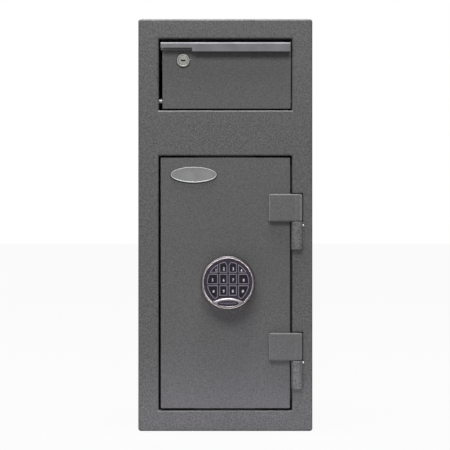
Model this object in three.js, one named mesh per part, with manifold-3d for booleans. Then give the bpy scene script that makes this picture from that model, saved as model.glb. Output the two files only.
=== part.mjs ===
// A front-loading drop safe: a welded cabinet with a tilting deposit hopper above a hinged door.
// Millimetres, +Z up, the front faces -Y. The origin is the centre of the base.
// Inside the code a depth runs back from the front face of the cabinet.
import * as THREE from "three";
import { mergeVertices } from "three/addons/utils/BufferGeometryUtils.js";
import Module from "manifold-3d";

const wasm = await Module();
wasm.setup();

// Cabinet
const cabinetWidth = 355;
const cabinetDepth = 335;
const cabinetHeight = 840;
const wallThickness = 3;
const frameThickness = 3;
const returnDepth = 20; // how far the frame's folded edges run back
const bendRadius = 4.5; // outside radius of the frame's bends
const cornerRadius = 5.5; // cabinet corners seen from the front
const sideReturn = 15; // width of a side panel's folded top and bottom edges
const backEdgeRadius = 1.5;
const anchorHoleRadius = 7;
const anchorInsetX = 60; // anchor holes from the cabinet's sides
const anchorInsetY = 60; // anchor holes from the front and back
const seam = 0.05; // between plates that are welded face to face
const runningGap = 0.3; // between pieces that turn or slide in each other

// Rails of the front frame, round the two openings
const sideRail = 42;
const topRail = 41;
const crossRail = 93; // between the hopper and the door
const bottomRail = 43;
const hopperOpeningHeight = 145;

// Door
const doorThickness = 6;
const doorGap = 4;
const doorEdgeRadius = 1;
const doorStopWidth = 120;
const doorStopReach = 12; // how far a stop stands into the opening
const doorStopDepth = 12;

// Hinges, turning about a vertical axis in the plane of the front face
const hingeAxisOutset = 10.5; // axis from the edge of the opening
const leafReach = 57.6; // from the axis to the leaf's free edge
const leafThickness = 10;
const leafHeight = 56.4;
const leafBevel = 1.5;
const knuckleRadius = 11;
const barrelRadius = 12.15;
const barrelLength = 56.7;
const barrelChamfer = 1;
const hingePinRadius = 5;
const hingePinGrip = 42; // length of the pin inside each half
const knuckleNotchGap = 2; // above the knuckle
const hingeSheetThickness = 3;
const upperLeafDrop = 134.1; // bottom of the upper leaf below the opening's top
const lowerLeafRise = 101.5; // bottom of the lower leaf above the opening's bottom

// Badge
const badgeInset = 70.1; // centre from the opening's left edge
const badgeDrop = 38.5; // centre below the opening's top
const badgeWidth = 96.4;
const badgeHeight = 33;
const badgeThickness = 2.6;
const badgeRim = 2.4;
const badgeRecess = 0.8;
const badgeEdge = 0.8;

// Keypad
const keypadX = 5.5;
const keypadRise = 2; // above the middle of the door
const baseRingRadius = 50;
const baseRingThickness = 3;
const housingBaseRadius = 54.3;
const housingRimRadius = 50.9;
const housingHeight = 35;
const housingWall = 3;
const housingBackThickness = 3;
const housingEdge = 0.8; // small chamfer round its back
const housingBand = 3; // straight band before it narrows
const housingRimEdge = 1.2; // rounding of the rim
const faceRadius = 48.4;
const faceThickness = 5;
const faceRecess = 1.5; // face below the rim
const keyFieldRadius = 42.5;
const keyInnerColumn = { inner: 1.3, outer: 17.7 };
const keyOuterColumn = { inner: 20.3, outer: 42.8 };
const keyTopRow = { bottom: 20, top: 43.5 };
const keyMiddleRow = { bottom: -3.2, top: 18 };
const keyBottomRow = { bottom: -26.2, top: -5.2 };
const keyBottomCornerDrop = 32.8; // the outer bottom keys reach this far below the centre
const keyTopNotch = { across: 3.9, down: 7 };
const keyBottomNotch = { across: 4.6, down: 4.2 };
const keyArcSteps = 4;
const keyProud = 1.7;
const keyBevel = 0.6;
const keyTravel = 1.2;
const keyPocketDepth = 3.4;
const bezelThickness = 3;
const bezelRadius = 51;
const bezelTop = -30.7; // highest point of the lens-shaped bezel
const bezelHalfWidth = 33;
const bezelEdge = 0.8;
const windowZ = -41.9;
const windowWidth = 41;
const windowHeight = 12.4;
const windowRecess = 0.8;
const windowDepth = 1.6;

// Boltwork behind the door
const spindleRadius = 4;
const spindleHoleRadius = 6;
const spindleFlangeRadius = 12;
const spindleFlangeThickness = 2;
const spindleEnd = 42; // depth at which the spindle ends
const keypadTurn = Math.PI / 2;
const boltThrow = 18;
const pinionTeeth = 12;
const toothAddendum = 1.6;
const toothDedendum = 2.1;
const toothBacklash = 0.35;
const pressureAngle = THREE.MathUtils.degToRad(20);
const pinionHubRadius = 8;
const lockCaseWidth = 61;
const lockCaseTop = 28; // above the spindle
const lockCaseBottom = -58;
const lockCaseDepth = 24;
const lockCaseCorner = 4;
const lockCaseBevel = 1.2;
const lockScrewRadius = 3.5;
const lockScrewInset = 7;
const lockScrewHeight = 1.5;
const boltRadius = 10;
const boltLength = 60;
const boltChamfer = 1.5;
const boltSpacing = 220;
const boltTipInset = 2; // retracted tips from the door's edge
const boltBehindReturn = 1;
const carriageBarThickness = 6;
const carriageBarWidth = 14;
const carriageBarOverhang = 12;
const armThickness = 4;
const armHeight = 24;
const armRightEnd = 62; // right of the spindle
const armBehindCase = 4;
const rackLeft = -12; // first and last tooth from the spindle, bolts drawn back
const rackRight = 30;
const guidePostInset = 25; // left post from the ends of the bolts
const guidePostRight = 44; // from the spindle
const guidePostRadius = 4;
const guideShoulderRadius = 6;
const guideFlangeRadius = 8;
const guideFlangeThickness = 2.5;
const bracketSheet = 4;
const bracketOuterInset = 4.5; // bracket from the door's edge
const bracketWidth = 35;
const bracketOverhang = 18; // past each bolt's centre
const bracketCover = 12; // past the bolt's centre, rearward
const dogBarThickness = 6;
const dogBarWebThickness = 4;
const dogBarReach = 7.5; // past the edge of the opening
const dogBarSetBack = 4; // behind the frame's folded edge
const dogBarWebInset = 16; // web from the edge of the opening
const dogBarEndInset = 15; // from the door's top and bottom

// Hopper, tilting forward about pivots near its lower front edge
const hopperSideGaps = 9; // left and right gap together
const hopperShift = 2.5; // the hopper hangs a little to the right in its opening
const hopperRecess = 5; // panel behind the front face
const hopperPanelThickness = 3;
const hopperPanelEdge = 1.2;
const hopperSheet = 2;
const hopperTilt = THREE.MathUtils.degToRad(50);
const pivotDepth = 13;
const pivotRise = 18.6; // above the bottom of the opening
const pivotRadius = 3;
const pivotShoulderRadius = 5;
const pivotHeadRadius = 7;
const pivotHeadThickness = 4;
const pivotCapRadius = 4.5;
const pivotCapThickness = 2;
const panelBottomGap = 3.1; // panel above the bottom of the opening
const panelTopGap = 9;
const floorSlope = THREE.MathUtils.degToRad(20);
const floorDrop = 8; // floor below the pivot at the front
const sideClearTop = 1.6; // sides reach past the panel's top edge
const floorReach = 5; // floor past the sides' radius
const earReach = 15; // stop ears past the sides' radius, caught by the guard
const earClearance = THREE.MathUtils.degToRad(0.25);
const lipFront = 10; // lip in front of the cabinet
const lipSheet = 1.6;
const lipBendRadius = 4;
const lipAbovePanel = 1.5;
const lipFrontHeight = 19.1;
const lipBackHeight = 15;
const lipLeftGap = 4; // lip from the edges of the opening
const lipRightGap = 3.1;
const lipStepWidth = 67.8; // this far from the opening's edge the lip is cut shorter over the lock
const lipStepHeight = 7.5;

// Chute around the hopper
const cheekThickness = 3;
const cheekReach = 18; // past the sides' radius
const cheekBottom = -34;
const cheekLowAngle = THREE.MathUtils.degToRad(-30);
const ledgeStart = 94; // along the hopper's floor
const ledgeEnd = 112;
const ledgeThickness = 3;
const ledgeReach = 20;
const guardClearance = 9; // guard outside the sides' radius
const guardSheet = 2;
const guardLowAngle = THREE.MathUtils.degToRad(32);
const guardHighAngle = THREE.MathUtils.degToRad(75);
const guardFlange = 15;
const toothPitch = 15;
const toothDepth = 11;
const guardPlainEnd = 26; // untoothed length at each end of the guard
const floorPlainEnd = 8;

// Hopper lock
const lockInset = 49.7; // from the opening's left edge
const lockDrop = 43.7; // below the opening's top
const lockHeadRadius = 14.25;
const lockHeadThickness = 3.5;
const lockBodyRadius = 9.5;
const lockPlugRadius = 7;
const lockPlugFaceRadius = 9.6;
const lockPlugFaceThickness = 1.6;
const lockTailRadius = 4;
const keywayWidth = 8.7;
const keywayHeight = 2.6;
const keywayDepth = 6;
const lockNutAcross = 24;
const lockNutThickness = 4.5;
const camBehindReturn = 0.8; // the cam turns up behind the frame's folded edge
const camLength = 50;
const camWidth = 16;
const camThickness = 2.5;
const camScrewHeadRadius = 5.5;
const camScrewHeadHeight = 2.5;
const camScrewRadius = 2;
const camScrewGrip = 6;

// Places worked out from the sizes above
const halfWidth = cabinetWidth / 2;
const halfOpening = halfWidth - sideRail;
const hopperOpeningTop = cabinetHeight - topRail;
const hopperOpeningBottom = hopperOpeningTop - hopperOpeningHeight;
const doorOpeningTop = hopperOpeningBottom - crossRail;
const doorOpeningBottom = bottomRail;
const doorHalfWidth = halfOpening - doorGap;
const doorBottom = doorOpeningBottom + doorGap;
const doorTop = doorOpeningTop - doorGap;
const doorBack = doorThickness + seam;
const hingeAxisX = halfOpening + hingeAxisOutset;
const upperLeafBottom = doorOpeningTop - upperLeafDrop;
const lowerLeafBottom = doorOpeningBottom + lowerLeafRise;
const badgeX = -halfOpening + badgeInset;
const badgeZ = doorOpeningTop - badgeDrop;
const keypadZ = (doorOpeningBottom + doorOpeningTop) / 2 + keypadRise;
const notchRight = hingeAxisX + barrelRadius + runningGap;
const pocketDepth = barrelRadius + runningGap;
const boltDepth = returnDepth + boltRadius + boltBehindReturn;
const boltTipX = -doorHalfWidth + boltTipInset;
const boltEndX = boltTipX + boltLength;
const guidePostLeft = boltEndX - keypadX + guidePostInset;
const armFront = doorThickness + lockCaseDepth + armBehindCase;
const armBack = armFront + armThickness;
const pinionPitchRadius = boltThrow / keypadTurn;
const rackPitch = (2 * Math.PI * pinionPitchRadius) / pinionTeeth;
const pivotHeight = hopperOpeningBottom + pivotRise;
const hopperLeft = hopperShift - halfOpening + hopperSideGaps / 2;
const hopperRight = hopperShift + halfOpening - hopperSideGaps / 2;
const panelBottom = panelBottomGap - pivotRise; // this and the next lines: from the pivot
const panelTop = hopperOpeningHeight - pivotRise - panelTopGap;
const sideRadius = panelTop + sideClearTop;
const floorLength = sideRadius + floorReach;
const earRadius = sideRadius + earReach;
const guardRadius = sideRadius + guardClearance;
const cheekRadius = sideRadius + cheekReach;
const lipTop = panelTop + lipAbovePanel;
const lipLeft = -halfOpening + lipLeftGap;
const lipRight = halfOpening - lipRightGap;
const lockX = -halfOpening + lockInset;
const lockHeight = hopperOpeningHeight - pivotRise - lockDrop;
const panelFront = hopperRecess - pivotDepth;
const panelBack = panelFront + hopperPanelThickness;
const cheekInner = halfOpening + frameThickness + seam;
const ceiling = cabinetHeight - wallThickness - pivotHeight - seam;
const faceFront = housingHeight - faceRecess;
const faceBack = faceFront - faceThickness;
const lockBodyLength = returnDepth + camBehindReturn - hopperRecess - runningGap;

const paintedSteel = new THREE.MeshStandardMaterial({ color: 0x616162, roughness: 0.55, metalness: 0.2 });
const paintedDoor = new THREE.MeshStandardMaterial({ color: 0x636364, roughness: 0.5, metalness: 0.2 });
const innerPaint = new THREE.MeshStandardMaterial({ color: 0x565657, roughness: 0.6, metalness: 0.1 });
const satinSteel = new THREE.MeshStandardMaterial({ color: 0x77777b, roughness: 0.35, metalness: 0.8 });
const zincPlate = new THREE.MeshStandardMaterial({ color: 0xa5a6a2, roughness: 0.35, metalness: 0.9 });
const nickelLock = new THREE.MeshStandardMaterial({ color: 0xa4a5a1, roughness: 0.3, metalness: 0.9 });
const chromePlate = new THREE.MeshStandardMaterial({ color: 0xd8d2d8, roughness: 0.12, metalness: 1 });
const darkPlastic = new THREE.MeshStandardMaterial({ color: 0x2c2832, roughness: 0.4, metalness: 0 });
const keyRubber = new THREE.MeshStandardMaterial({ color: 0x26222b, roughness: 0.5, metalness: 0 });
const darkWindow = new THREE.MeshStandardMaterial({ color: 0x1c171f, roughness: 0.1, metalness: 0 });
const badgeMetal = new THREE.MeshStandardMaterial({ color: 0x8a8b8c, roughness: 0.3, metalness: 0.8 });
const castZinc = new THREE.MeshStandardMaterial({ color: 0x8f9194, roughness: 0.5, metalness: 0.7 });

// A closed geometry as a solid that can be joined and cut.
function solidOf(shape) {
  if (!(shape instanceof THREE.BufferGeometry)) return shape;
  const bare = shape.clone();
  bare.deleteAttribute("normal");
  bare.deleteAttribute("uv");
  const merged = mergeVertices(bare, 1e-4);
  const vertProperties = merged.attributes.position.array;
  const triVerts = new Uint32Array(merged.index.array);
  return new wasm.Manifold(new wasm.Mesh({ numProp: 3, vertProperties, triVerts }));
}

function join(first, ...others) {
  return others.reduce((body, other) => body.add(solidOf(other)), solidOf(first));
}

function cut(body, ...tools) {
  return tools.reduce((rest, tool) => rest.subtract(solidOf(tool)), solidOf(body));
}

// The mirror image across x = 0, with its faces still pointing out.
function mirroredX(shape) {
  return solidOf(shape).mirror([1, 0, 0]);
}

function geometryOf(shape) {
  if (shape instanceof THREE.BufferGeometry) return shape;
  const mesh = shape.getMesh();
  const geometry = new THREE.BufferGeometry();
  geometry.setAttribute("position", new THREE.BufferAttribute(mesh.vertProperties, 3));
  geometry.setIndex(new THREE.BufferAttribute(mesh.triVerts, 1));
  const faceted = geometry.toNonIndexed();
  faceted.computeVertexNormals();
  return faceted;
}

// Adds one named piece to a group.
function piece(group, name, material, shape) {
  const mesh = new THREE.Mesh(geometryOf(shape), material.clone());
  mesh.name = name;
  group.add(mesh);
}

function groupAt(parent, x, y, z) {
  const group = new THREE.Group();
  group.position.set(x, y, z);
  parent.add(group);
  return group;
}

function block([x0, x1], [y0, y1], [z0, z1]) {
  const box = new THREE.BoxGeometry(x1 - x0, y1 - y0, z1 - z0);
  return box.translate((x0 + x1) / 2, (y0 + y1) / 2, (z0 + z1) / 2);
}

// A closed profile of [radius, height] pairs turned about an axis. Heights run along +X, +Z or -Y.
function turned(profile, axis, segments = 32) {
  const points = profile.map(([radius, height]) => new THREE.Vector2(radius, height));
  const body = new THREE.LatheGeometry(points, segments);
  if (axis === "x") return body.rotateZ(-Math.PI / 2);
  if (axis === "z") return body.rotateX(Math.PI / 2);
  return body.rotateX(Math.PI);
}

// A plain round bar or a tool for a round hole, along x, y or z.
function rod(radius, [start, end], axis, segments = 32) {
  const bar = new THREE.CylinderGeometry(radius, radius, end - start, segments);
  bar.translate(0, (start + end) / 2, 0);
  if (axis === "x") return bar.rotateZ(-Math.PI / 2);
  if (axis === "z") return bar.rotateX(Math.PI / 2);
  return bar;
}

function polygon(points) {
  return new THREE.Shape(points.map(([x, y]) => new THREE.Vector2(x, y)));
}

function rectangle([x0, x1], [z0, z1]) {
  return polygon([[x0, z0], [x1, z0], [x1, z1], [x0, z1]]);
}

function roundedRectangle([x0, x1], [z0, z1], radius) {
  const shape = new THREE.Shape();
  shape.moveTo(x0 + radius, z0);
  shape.lineTo(x1 - radius, z0);
  shape.absarc(x1 - radius, z0 + radius, radius, -Math.PI / 2, 0, false);
  shape.lineTo(x1, z1 - radius);
  shape.absarc(x1 - radius, z1 - radius, radius, 0, Math.PI / 2, false);
  shape.lineTo(x0 + radius, z1);
  shape.absarc(x0 + radius, z1 - radius, radius, Math.PI / 2, Math.PI, false);
  shape.lineTo(x0, z0 + radius);
  shape.absarc(x0 + radius, z0 + radius, radius, Math.PI, 1.5 * Math.PI, false);
  return shape;
}

// A bar with round ends, between the centres of those ends.
function stadium([x0, x1], radius) {
  const shape = new THREE.Shape();
  shape.absarc(x0, 0, radius, Math.PI / 2, 1.5 * Math.PI, false);
  shape.absarc(x1, 0, radius, -Math.PI / 2, Math.PI / 2, false);
  return shape;
}

// An outline in x and z, given thickness from the front depth to the back depth.
function plateXZ(shape, [front, back], curveSegments = 4) {
  const settings = { depth: back - front, bevelEnabled: false, curveSegments };
  const plate = new THREE.ExtrudeGeometry(shape, settings);
  return plate.rotateX(Math.PI / 2).translate(0, back, 0);
}

// The same, with the edges at the front rounded and the back left square.
function plateRoundedFront(shape, [front, back], radius, bevelSegments = 3, curveSegments = 4) {
  const settings = {
    depth: back - front - radius,
    bevelThickness: radius,
    bevelSize: radius,
    bevelOffset: -radius,
    bevelSegments,
    curveSegments,
  };
  const plate = new THREE.ExtrudeGeometry(shape, settings);
  plate.rotateX(Math.PI / 2).translate(0, back, 0);
  const reach = 2 * cabinetHeight;
  return cut(plate, block([-reach, reach], [back, back + 2 * radius], [-reach, reach]));
}

// An outline in depth and z, given width from the left to the right.
function plateYZ(shape, [left, right], curveSegments = 12) {
  const settings = { depth: right - left, bevelEnabled: false, curveSegments };
  const plate = new THREE.ExtrudeGeometry(shape, settings);
  const toWorld = new THREE.Matrix4().makeBasis(
    new THREE.Vector3(0, 1, 0),
    new THREE.Vector3(0, 0, 1),
    new THREE.Vector3(1, 0, 0),
  );
  return plate.applyMatrix4(toWorld).translate(left, 0, 0);
}

function polar(radius, angle) {
  return [radius * Math.cos(angle), radius * Math.sin(angle)];
}

// A row of pointed notches along x, cut upward from z = 0 through the given depths.
function notchRow([left, right], pitch, height, [front, back]) {
  const count = Math.floor((right - left) / pitch);
  const start = (left + right - count * pitch) / 2;
  const points = [[start, -height], [start, 0]];
  for (let i = 0; i < count; i += 1) {
    points.push([start + (i + 0.5) * pitch, height]);
    points.push([start + (i + 1) * pitch, 0]);
  }
  points.push([start + count * pitch, -height]);
  return plateXZ(polygon(points), [front, back]);
}

// Cabinet shell

function frontFrame() {
  const outline = roundedRectangle([-halfWidth, halfWidth], [0, cabinetHeight], cornerRadius);
  const inner = roundedRectangle(
    [-halfWidth + frameThickness, halfWidth - frameThickness],
    [frameThickness, cabinetHeight - frameThickness],
    cornerRadius - frameThickness,
  );
  const openings = [
    [doorOpeningBottom, doorOpeningTop],
    [hopperOpeningBottom, hopperOpeningTop],
  ];
  for (const [bottom, top] of openings) {
    outline.holes.push(rectangle([-halfOpening, halfOpening], [bottom, top]));
    const grown = halfOpening + frameThickness;
    inner.holes.push(rectangle([-grown, grown], [bottom - frameThickness, top + frameThickness]));
  }
  const pressing = plateRoundedFront(outline, [0, returnDepth], bendRadius, 4);
  const hollow = plateXZ(inner, [frameThickness, returnDepth + 1]);
  const notches = [upperLeafBottom, lowerLeafBottom].map((leafBottom) =>
    block([halfOpening - 1, notchRight], [-1, pocketDepth], notchSpan(leafBottom)),
  );
  const pivotHole = rod(pivotRadius + runningGap, [-halfWidth, halfWidth], "x");
  pivotHole.translate(0, pivotDepth, pivotHeight);
  const hopperSpan = [hopperOpeningBottom, hopperOpeningTop];
  const walls = block([-cheekInner, cheekInner], [0, returnDepth + 1], hopperSpan);
  return cut(pressing, hollow, ...notches, solidOf(pivotHole).intersect(solidOf(walls)));
}

function notchSpan(leafBottom) {
  return [leafBottom - barrelLength - 2 * runningGap, leafBottom + leafHeight + knuckleNotchGap];
}

function sidePanel(side) {
  const inside = cornerRadius - wallThickness;
  const shape = new THREE.Shape();
  shape.moveTo(sideReturn, 0);
  shape.lineTo(sideReturn, wallThickness);
  shape.lineTo(cornerRadius, wallThickness);
  shape.absarc(cornerRadius, cornerRadius, inside, -Math.PI / 2, -Math.PI, true);
  shape.lineTo(wallThickness, cabinetHeight - cornerRadius);
  shape.absarc(cornerRadius, cabinetHeight - cornerRadius, inside, Math.PI, Math.PI / 2, true);
  shape.lineTo(sideReturn, cabinetHeight - wallThickness);
  shape.lineTo(sideReturn, cabinetHeight);
  shape.lineTo(cornerRadius, cabinetHeight);
  shape.absarc(cornerRadius, cabinetHeight - cornerRadius, cornerRadius, Math.PI / 2, Math.PI, false);
  shape.lineTo(0, cornerRadius);
  shape.absarc(cornerRadius, cornerRadius, cornerRadius, Math.PI, 1.5 * Math.PI, false);
  const panel = plateXZ(shape, [returnDepth + seam, cabinetDepth - wallThickness - seam]);
  panel.translate(-halfWidth, 0, 0);
  return side === "left" ? panel : mirroredX(panel);
}

function levelPanel(bottom) {
  const reach = halfWidth - sideReturn - seam;
  const depths = [returnDepth + seam, cabinetDepth - wallThickness - seam];
  return block([-reach, reach], depths, [bottom, bottom + wallThickness]);
}

function floorPanel() {
  const tools = [];
  for (const x of [-halfWidth + anchorInsetX, halfWidth - anchorInsetX]) {
    for (const y of [anchorInsetY, cabinetDepth - anchorInsetY]) {
      const hole = rod(anchorHoleRadius, [-1, wallThickness + 1], "z", 16);
      tools.push(hole.translate(x, y, 0));
    }
  }
  return cut(levelPanel(0), ...tools);
}

function backPanel() {
  const outline = roundedRectangle([-halfWidth, halfWidth], [0, cabinetHeight], cornerRadius);
  const panel = plateRoundedFront(outline, [-wallThickness, 0], backEdgeRadius, 2);
  return panel.rotate([0, 0, 180]).translate([0, cabinetDepth - wallThickness, 0]);
}

function doorStop(height, inward) {
  const profile = polygon([
    [0, 0],
    [doorStopDepth, 0],
    [doorStopDepth, wallThickness],
    [wallThickness, wallThickness],
    [wallThickness, doorStopReach],
    [0, doorStopReach],
  ]);
  const stop = plateYZ(profile, [-doorStopWidth / 2, doorStopWidth / 2]);
  const turnedOver = inward > 0 ? solidOf(stop) : solidOf(stop).mirror([0, 0, 1]);
  return turnedOver.translate([0, doorThickness + runningGap, height + inward * seam]);
}

// Hinges, in a group on the hinge axis at the bottom of the leaf

function hingeLeaf() {
  const start = -Math.PI + Math.asin(leafThickness / knuckleRadius);
  const end = Math.PI + Math.asin(seam / knuckleRadius);
  const outline = new THREE.Shape();
  outline.moveTo(-leafReach, -seam);
  outline.lineTo(-leafReach, -leafThickness + leafBevel);
  outline.lineTo(-leafReach + leafBevel, -leafThickness);
  outline.absarc(0, 0, knuckleRadius, start, end, false);
  const settings = {
    depth: leafHeight - 2 * leafBevel,
    bevelThickness: leafBevel,
    bevelSize: leafBevel,
    bevelOffset: -leafBevel,
    bevelSegments: 2,
    curveSegments: 10,
  };
  const leaf = new THREE.ExtrudeGeometry(outline, settings).translate(0, 0, leafBevel);
  return cut(leaf, rod(hingePinRadius + runningGap, [-1, hingePinGrip + 1], "z", 20));
}

function hingeBarrel() {
  const bore = hingePinRadius + runningGap;
  const profile = [
    [0, 0],
    [barrelRadius - barrelChamfer, 0],
    [barrelRadius, barrelChamfer],
    [barrelRadius, barrelLength - barrelChamfer],
    [barrelRadius - barrelChamfer, barrelLength],
    [bore, barrelLength],
    [bore, barrelLength - hingePinGrip],
    [0, barrelLength - hingePinGrip],
  ];
  return turned(profile, "z", 28).translate(0, 0, -barrelLength - runningGap);
}

function hingePin() {
  const bottom = -runningGap - hingePinGrip + seam;
  const chamfer = 1;
  const profile = [
    [0, bottom],
    [hingePinRadius - chamfer, bottom],
    [hingePinRadius, bottom + chamfer],
    [hingePinRadius, hingePinGrip - chamfer],
    [hingePinRadius - chamfer, hingePinGrip],
    [0, hingePinGrip],
  ];
  return turned(profile, "z", 16);
}

// A folded pocket behind the frame's notch, open to the front and to the door.
function hingePocket() {
  const [bottom, top] = notchSpan(0);
  const left = cheekInner - hingeAxisX;
  const right = notchRight - hingeAxisX;
  const sheet = hingeSheetThickness;
  const trayDepths = [frameThickness + seam, pocketDepth + sheet];
  const tray = block([left, right + sheet], trayDepths, [bottom - sheet, top + sheet]);
  return cut(tray, block([left - 1, right], [0, pocketDepth], [bottom, top]));
}

// Door

function doorPanel() {
  const outline = rectangle([-doorHalfWidth, doorHalfWidth], [doorBottom, doorTop]);
  const panel = plateRoundedFront(outline, [0, doorThickness], doorEdgeRadius, 2);
  const hole = rod(spindleHoleRadius, [-1, doorThickness + 1], "y").translate(keypadX, 0, keypadZ);
  return cut(panel, hole);
}

function ellipse(width, height, x = 0, z = 0) {
  const shape = new THREE.Shape();
  shape.absellipse(x, z, width / 2, height / 2, 0, 2 * Math.PI, false);
  return shape;
}

function badgePlate() {
  const outline = ellipse(badgeWidth, badgeHeight);
  const body = plateRoundedFront(outline, [-badgeThickness - seam, -seam], badgeEdge, 2, 16);
  const field = ellipse(badgeWidth - 2 * badgeRim, badgeHeight - 2 * badgeRim);
  const front = -badgeThickness - seam;
  return cut(body, plateXZ(field, [front - 1, front + badgeRecess], 16));
}

function dogBar() {
  const webLeft = halfOpening - dogBarWebInset - dogBarWebThickness;
  const web = [webLeft, webLeft + dogBarWebThickness];
  const front = returnDepth + dogBarSetBack;
  const back = front + dogBarThickness;
  const span = [doorBottom + dogBarEndInset, doorTop - dogBarEndInset];
  const flange = block([webLeft, halfOpening + dogBarReach], [front, back], span);
  return join(block(web, [doorBack, back], span), flange);
}

function boltHeights() {
  return [keypadZ - boltSpacing / 2, keypadZ + boltSpacing / 2];
}

function boltGuideBracket() {
  const left = -doorHalfWidth + bracketOuterInset;
  const right = left + bracketWidth;
  const back = boltDepth + bracketCover;
  const [low, high] = boltHeights();
  const span = [low - bracketOverhang, high + bracketOverhang];
  const channel = block([left, right], [doorBack, back], span);
  const hollow = block(
    [left + bracketSheet, right - bracketSheet],
    [doorBack + bracketSheet, back + 1],
    [span[0] - 1, span[1] + 1],
  );
  const bores = [low, high].map((z) =>
    rod(boltRadius + runningGap, [left - 1, right + 1], "x", 24).translate(0, boltDepth, z),
  );
  // Between the bolts the walls are cut down, so only the ends carry them.
  const relief = block(
    [left - 1, right + 1],
    [doorBack + 2 * bracketSheet, back + 1],
    [low + bracketOverhang, high - bracketOverhang],
  );
  return cut(channel, hollow, relief, ...bores);
}

function lockingBolt() {
  const profile = [
    [0, boltTipX],
    [boltRadius - boltChamfer, boltTipX],
    [boltRadius, boltTipX + boltChamfer],
    [boltRadius, boltEndX],
    [0, boltEndX],
  ];
  return turned(profile, "x", 28);
}

// The outline of the rack's teeth, in x and z from the spindle, pointing down at the pinion.
function rackPoints() {
  const tip = pinionPitchRadius - toothAddendum;
  const root = pinionPitchRadius + toothDedendum;
  const half = rackPitch / 4 - toothBacklash / 2;
  const atTip = half - toothAddendum * Math.tan(pressureAngle);
  const atRoot = half + toothDedendum * Math.tan(pressureAngle);
  const points = [];
  const first = Math.ceil(rackLeft / rackPitch);
  const last = Math.floor(rackRight / rackPitch);
  for (let i = first; i < last; i += 1) {
    const centre = (i + 0.5) * rackPitch;
    points.push([centre - atRoot, root], [centre - atTip, tip]);
    points.push([centre + atTip, tip], [centre + atRoot, root]);
  }
  return points;
}

function boltCarriage() {
  const root = pinionPitchRadius + toothDedendum;
  const top = root + armHeight;
  const barLeft = boltEndX + seam - keypadX;
  const outline = polygon([
    [barLeft, root],
    ...rackPoints(),
    [armRightEnd, root],
    [armRightEnd, top],
    [barLeft, top],
  ]);
  const slotCentre = root + armHeight / 2;
  const slotRadius = guidePostRadius + runningGap;
  const slots = [guidePostLeft, guidePostRight].map((x) => {
    const slot = plateXZ(stadium([x, x + boltThrow], slotRadius), [armFront - 1, armBack + 1], 6);
    return slot.translate(0, 0, slotCentre);
  });
  const arm = plateXZ(outline, [armFront, armBack]);
  const halfSpan = boltSpacing / 2 + carriageBarOverhang;
  const barDepths = [armBack - carriageBarWidth, armBack];
  const bar = block([barLeft, barLeft + carriageBarThickness], barDepths, [-halfSpan, halfSpan]);
  return cut(join(arm, bar), ...slots);
}

function guidePost() {
  const neck = -armFront + runningGap;
  const head = -armBack - runningGap;
  const profile = [
    [0, -doorBack],
    [guideFlangeRadius, -doorBack],
    [guideFlangeRadius, -doorBack - guideFlangeThickness],
    [guideShoulderRadius, -doorBack - guideFlangeThickness],
    [guideShoulderRadius, neck],
    [guidePostRadius, neck],
    [guidePostRadius, head],
    [guideFlangeRadius, head],
    [guideFlangeRadius, head - guideFlangeThickness],
    [0, head - guideFlangeThickness],
  ];
  return turned(profile.reverse(), "y", 16);
}

function lockCase() {
  const half = lockCaseWidth / 2;
  const outline = roundedRectangle([-half, half], [lockCaseBottom, lockCaseTop], lockCaseCorner);
  const back = doorThickness + lockCaseDepth;
  const box = plateRoundedFront(outline, [-back, -doorBack], lockCaseBevel, 1);
  // The rounded edges face the inside of the safe, so the box is turned about a vertical axis.
  const turnedBox = box.rotate([0, 0, 180]);
  const heads = [];
  for (const x of [-half + lockScrewInset, half - lockScrewInset]) {
    for (const z of [lockCaseBottom + lockScrewInset, lockCaseTop - lockScrewInset]) {
      heads.push(rod(lockScrewRadius, [back - 1, back + lockScrewHeight], "y", 12).translate(x, 0, z));
    }
  }
  return cut(join(turnedBox, ...heads), rod(spindleHoleRadius, [0, back + 1], "y"));
}

// Keypad, in a group on the spindle's axis, heights measured forward from the door

function baseRing() {
  const profile = [
    [spindleHoleRadius, seam],
    [baseRingRadius, seam],
    [baseRingRadius, baseRingThickness],
    [spindleHoleRadius, baseRingThickness],
    [spindleHoleRadius, seam],
  ];
  return turned(profile, "y", 32);
}

function keypadHousing() {
  const back = baseRingThickness + runningGap;
  const bore = spindleRadius + runningGap;
  const seat = faceRadius + runningGap;
  const inside = faceRadius - housingWall;
  const bandEnd = back + housingBand;
  // The side narrows quickly in front of the band, then runs almost straight to the rim.
  const side = new THREE.QuadraticBezierCurve(
    new THREE.Vector2(housingBaseRadius, bandEnd),
    new THREE.Vector2(housingRimRadius, bandEnd + housingBand),
    new THREE.Vector2(housingRimRadius, housingHeight - housingRimEdge),
  );
  const profile = [
    [bore, back],
    [housingBaseRadius - housingEdge, back],
    [housingBaseRadius, back + housingEdge],
    ...side.getPoints(4).map((point) => [point.x, point.y]),
    [housingRimRadius - housingRimEdge, housingHeight],
    [seat, housingHeight],
    [seat, faceBack - seam],
    [inside, faceBack - seam],
    [inside, back + housingBackThickness],
    [bore, back + housingBackThickness],
    [bore, back],
  ];
  return turned(profile, "y", 48);
}

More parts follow.
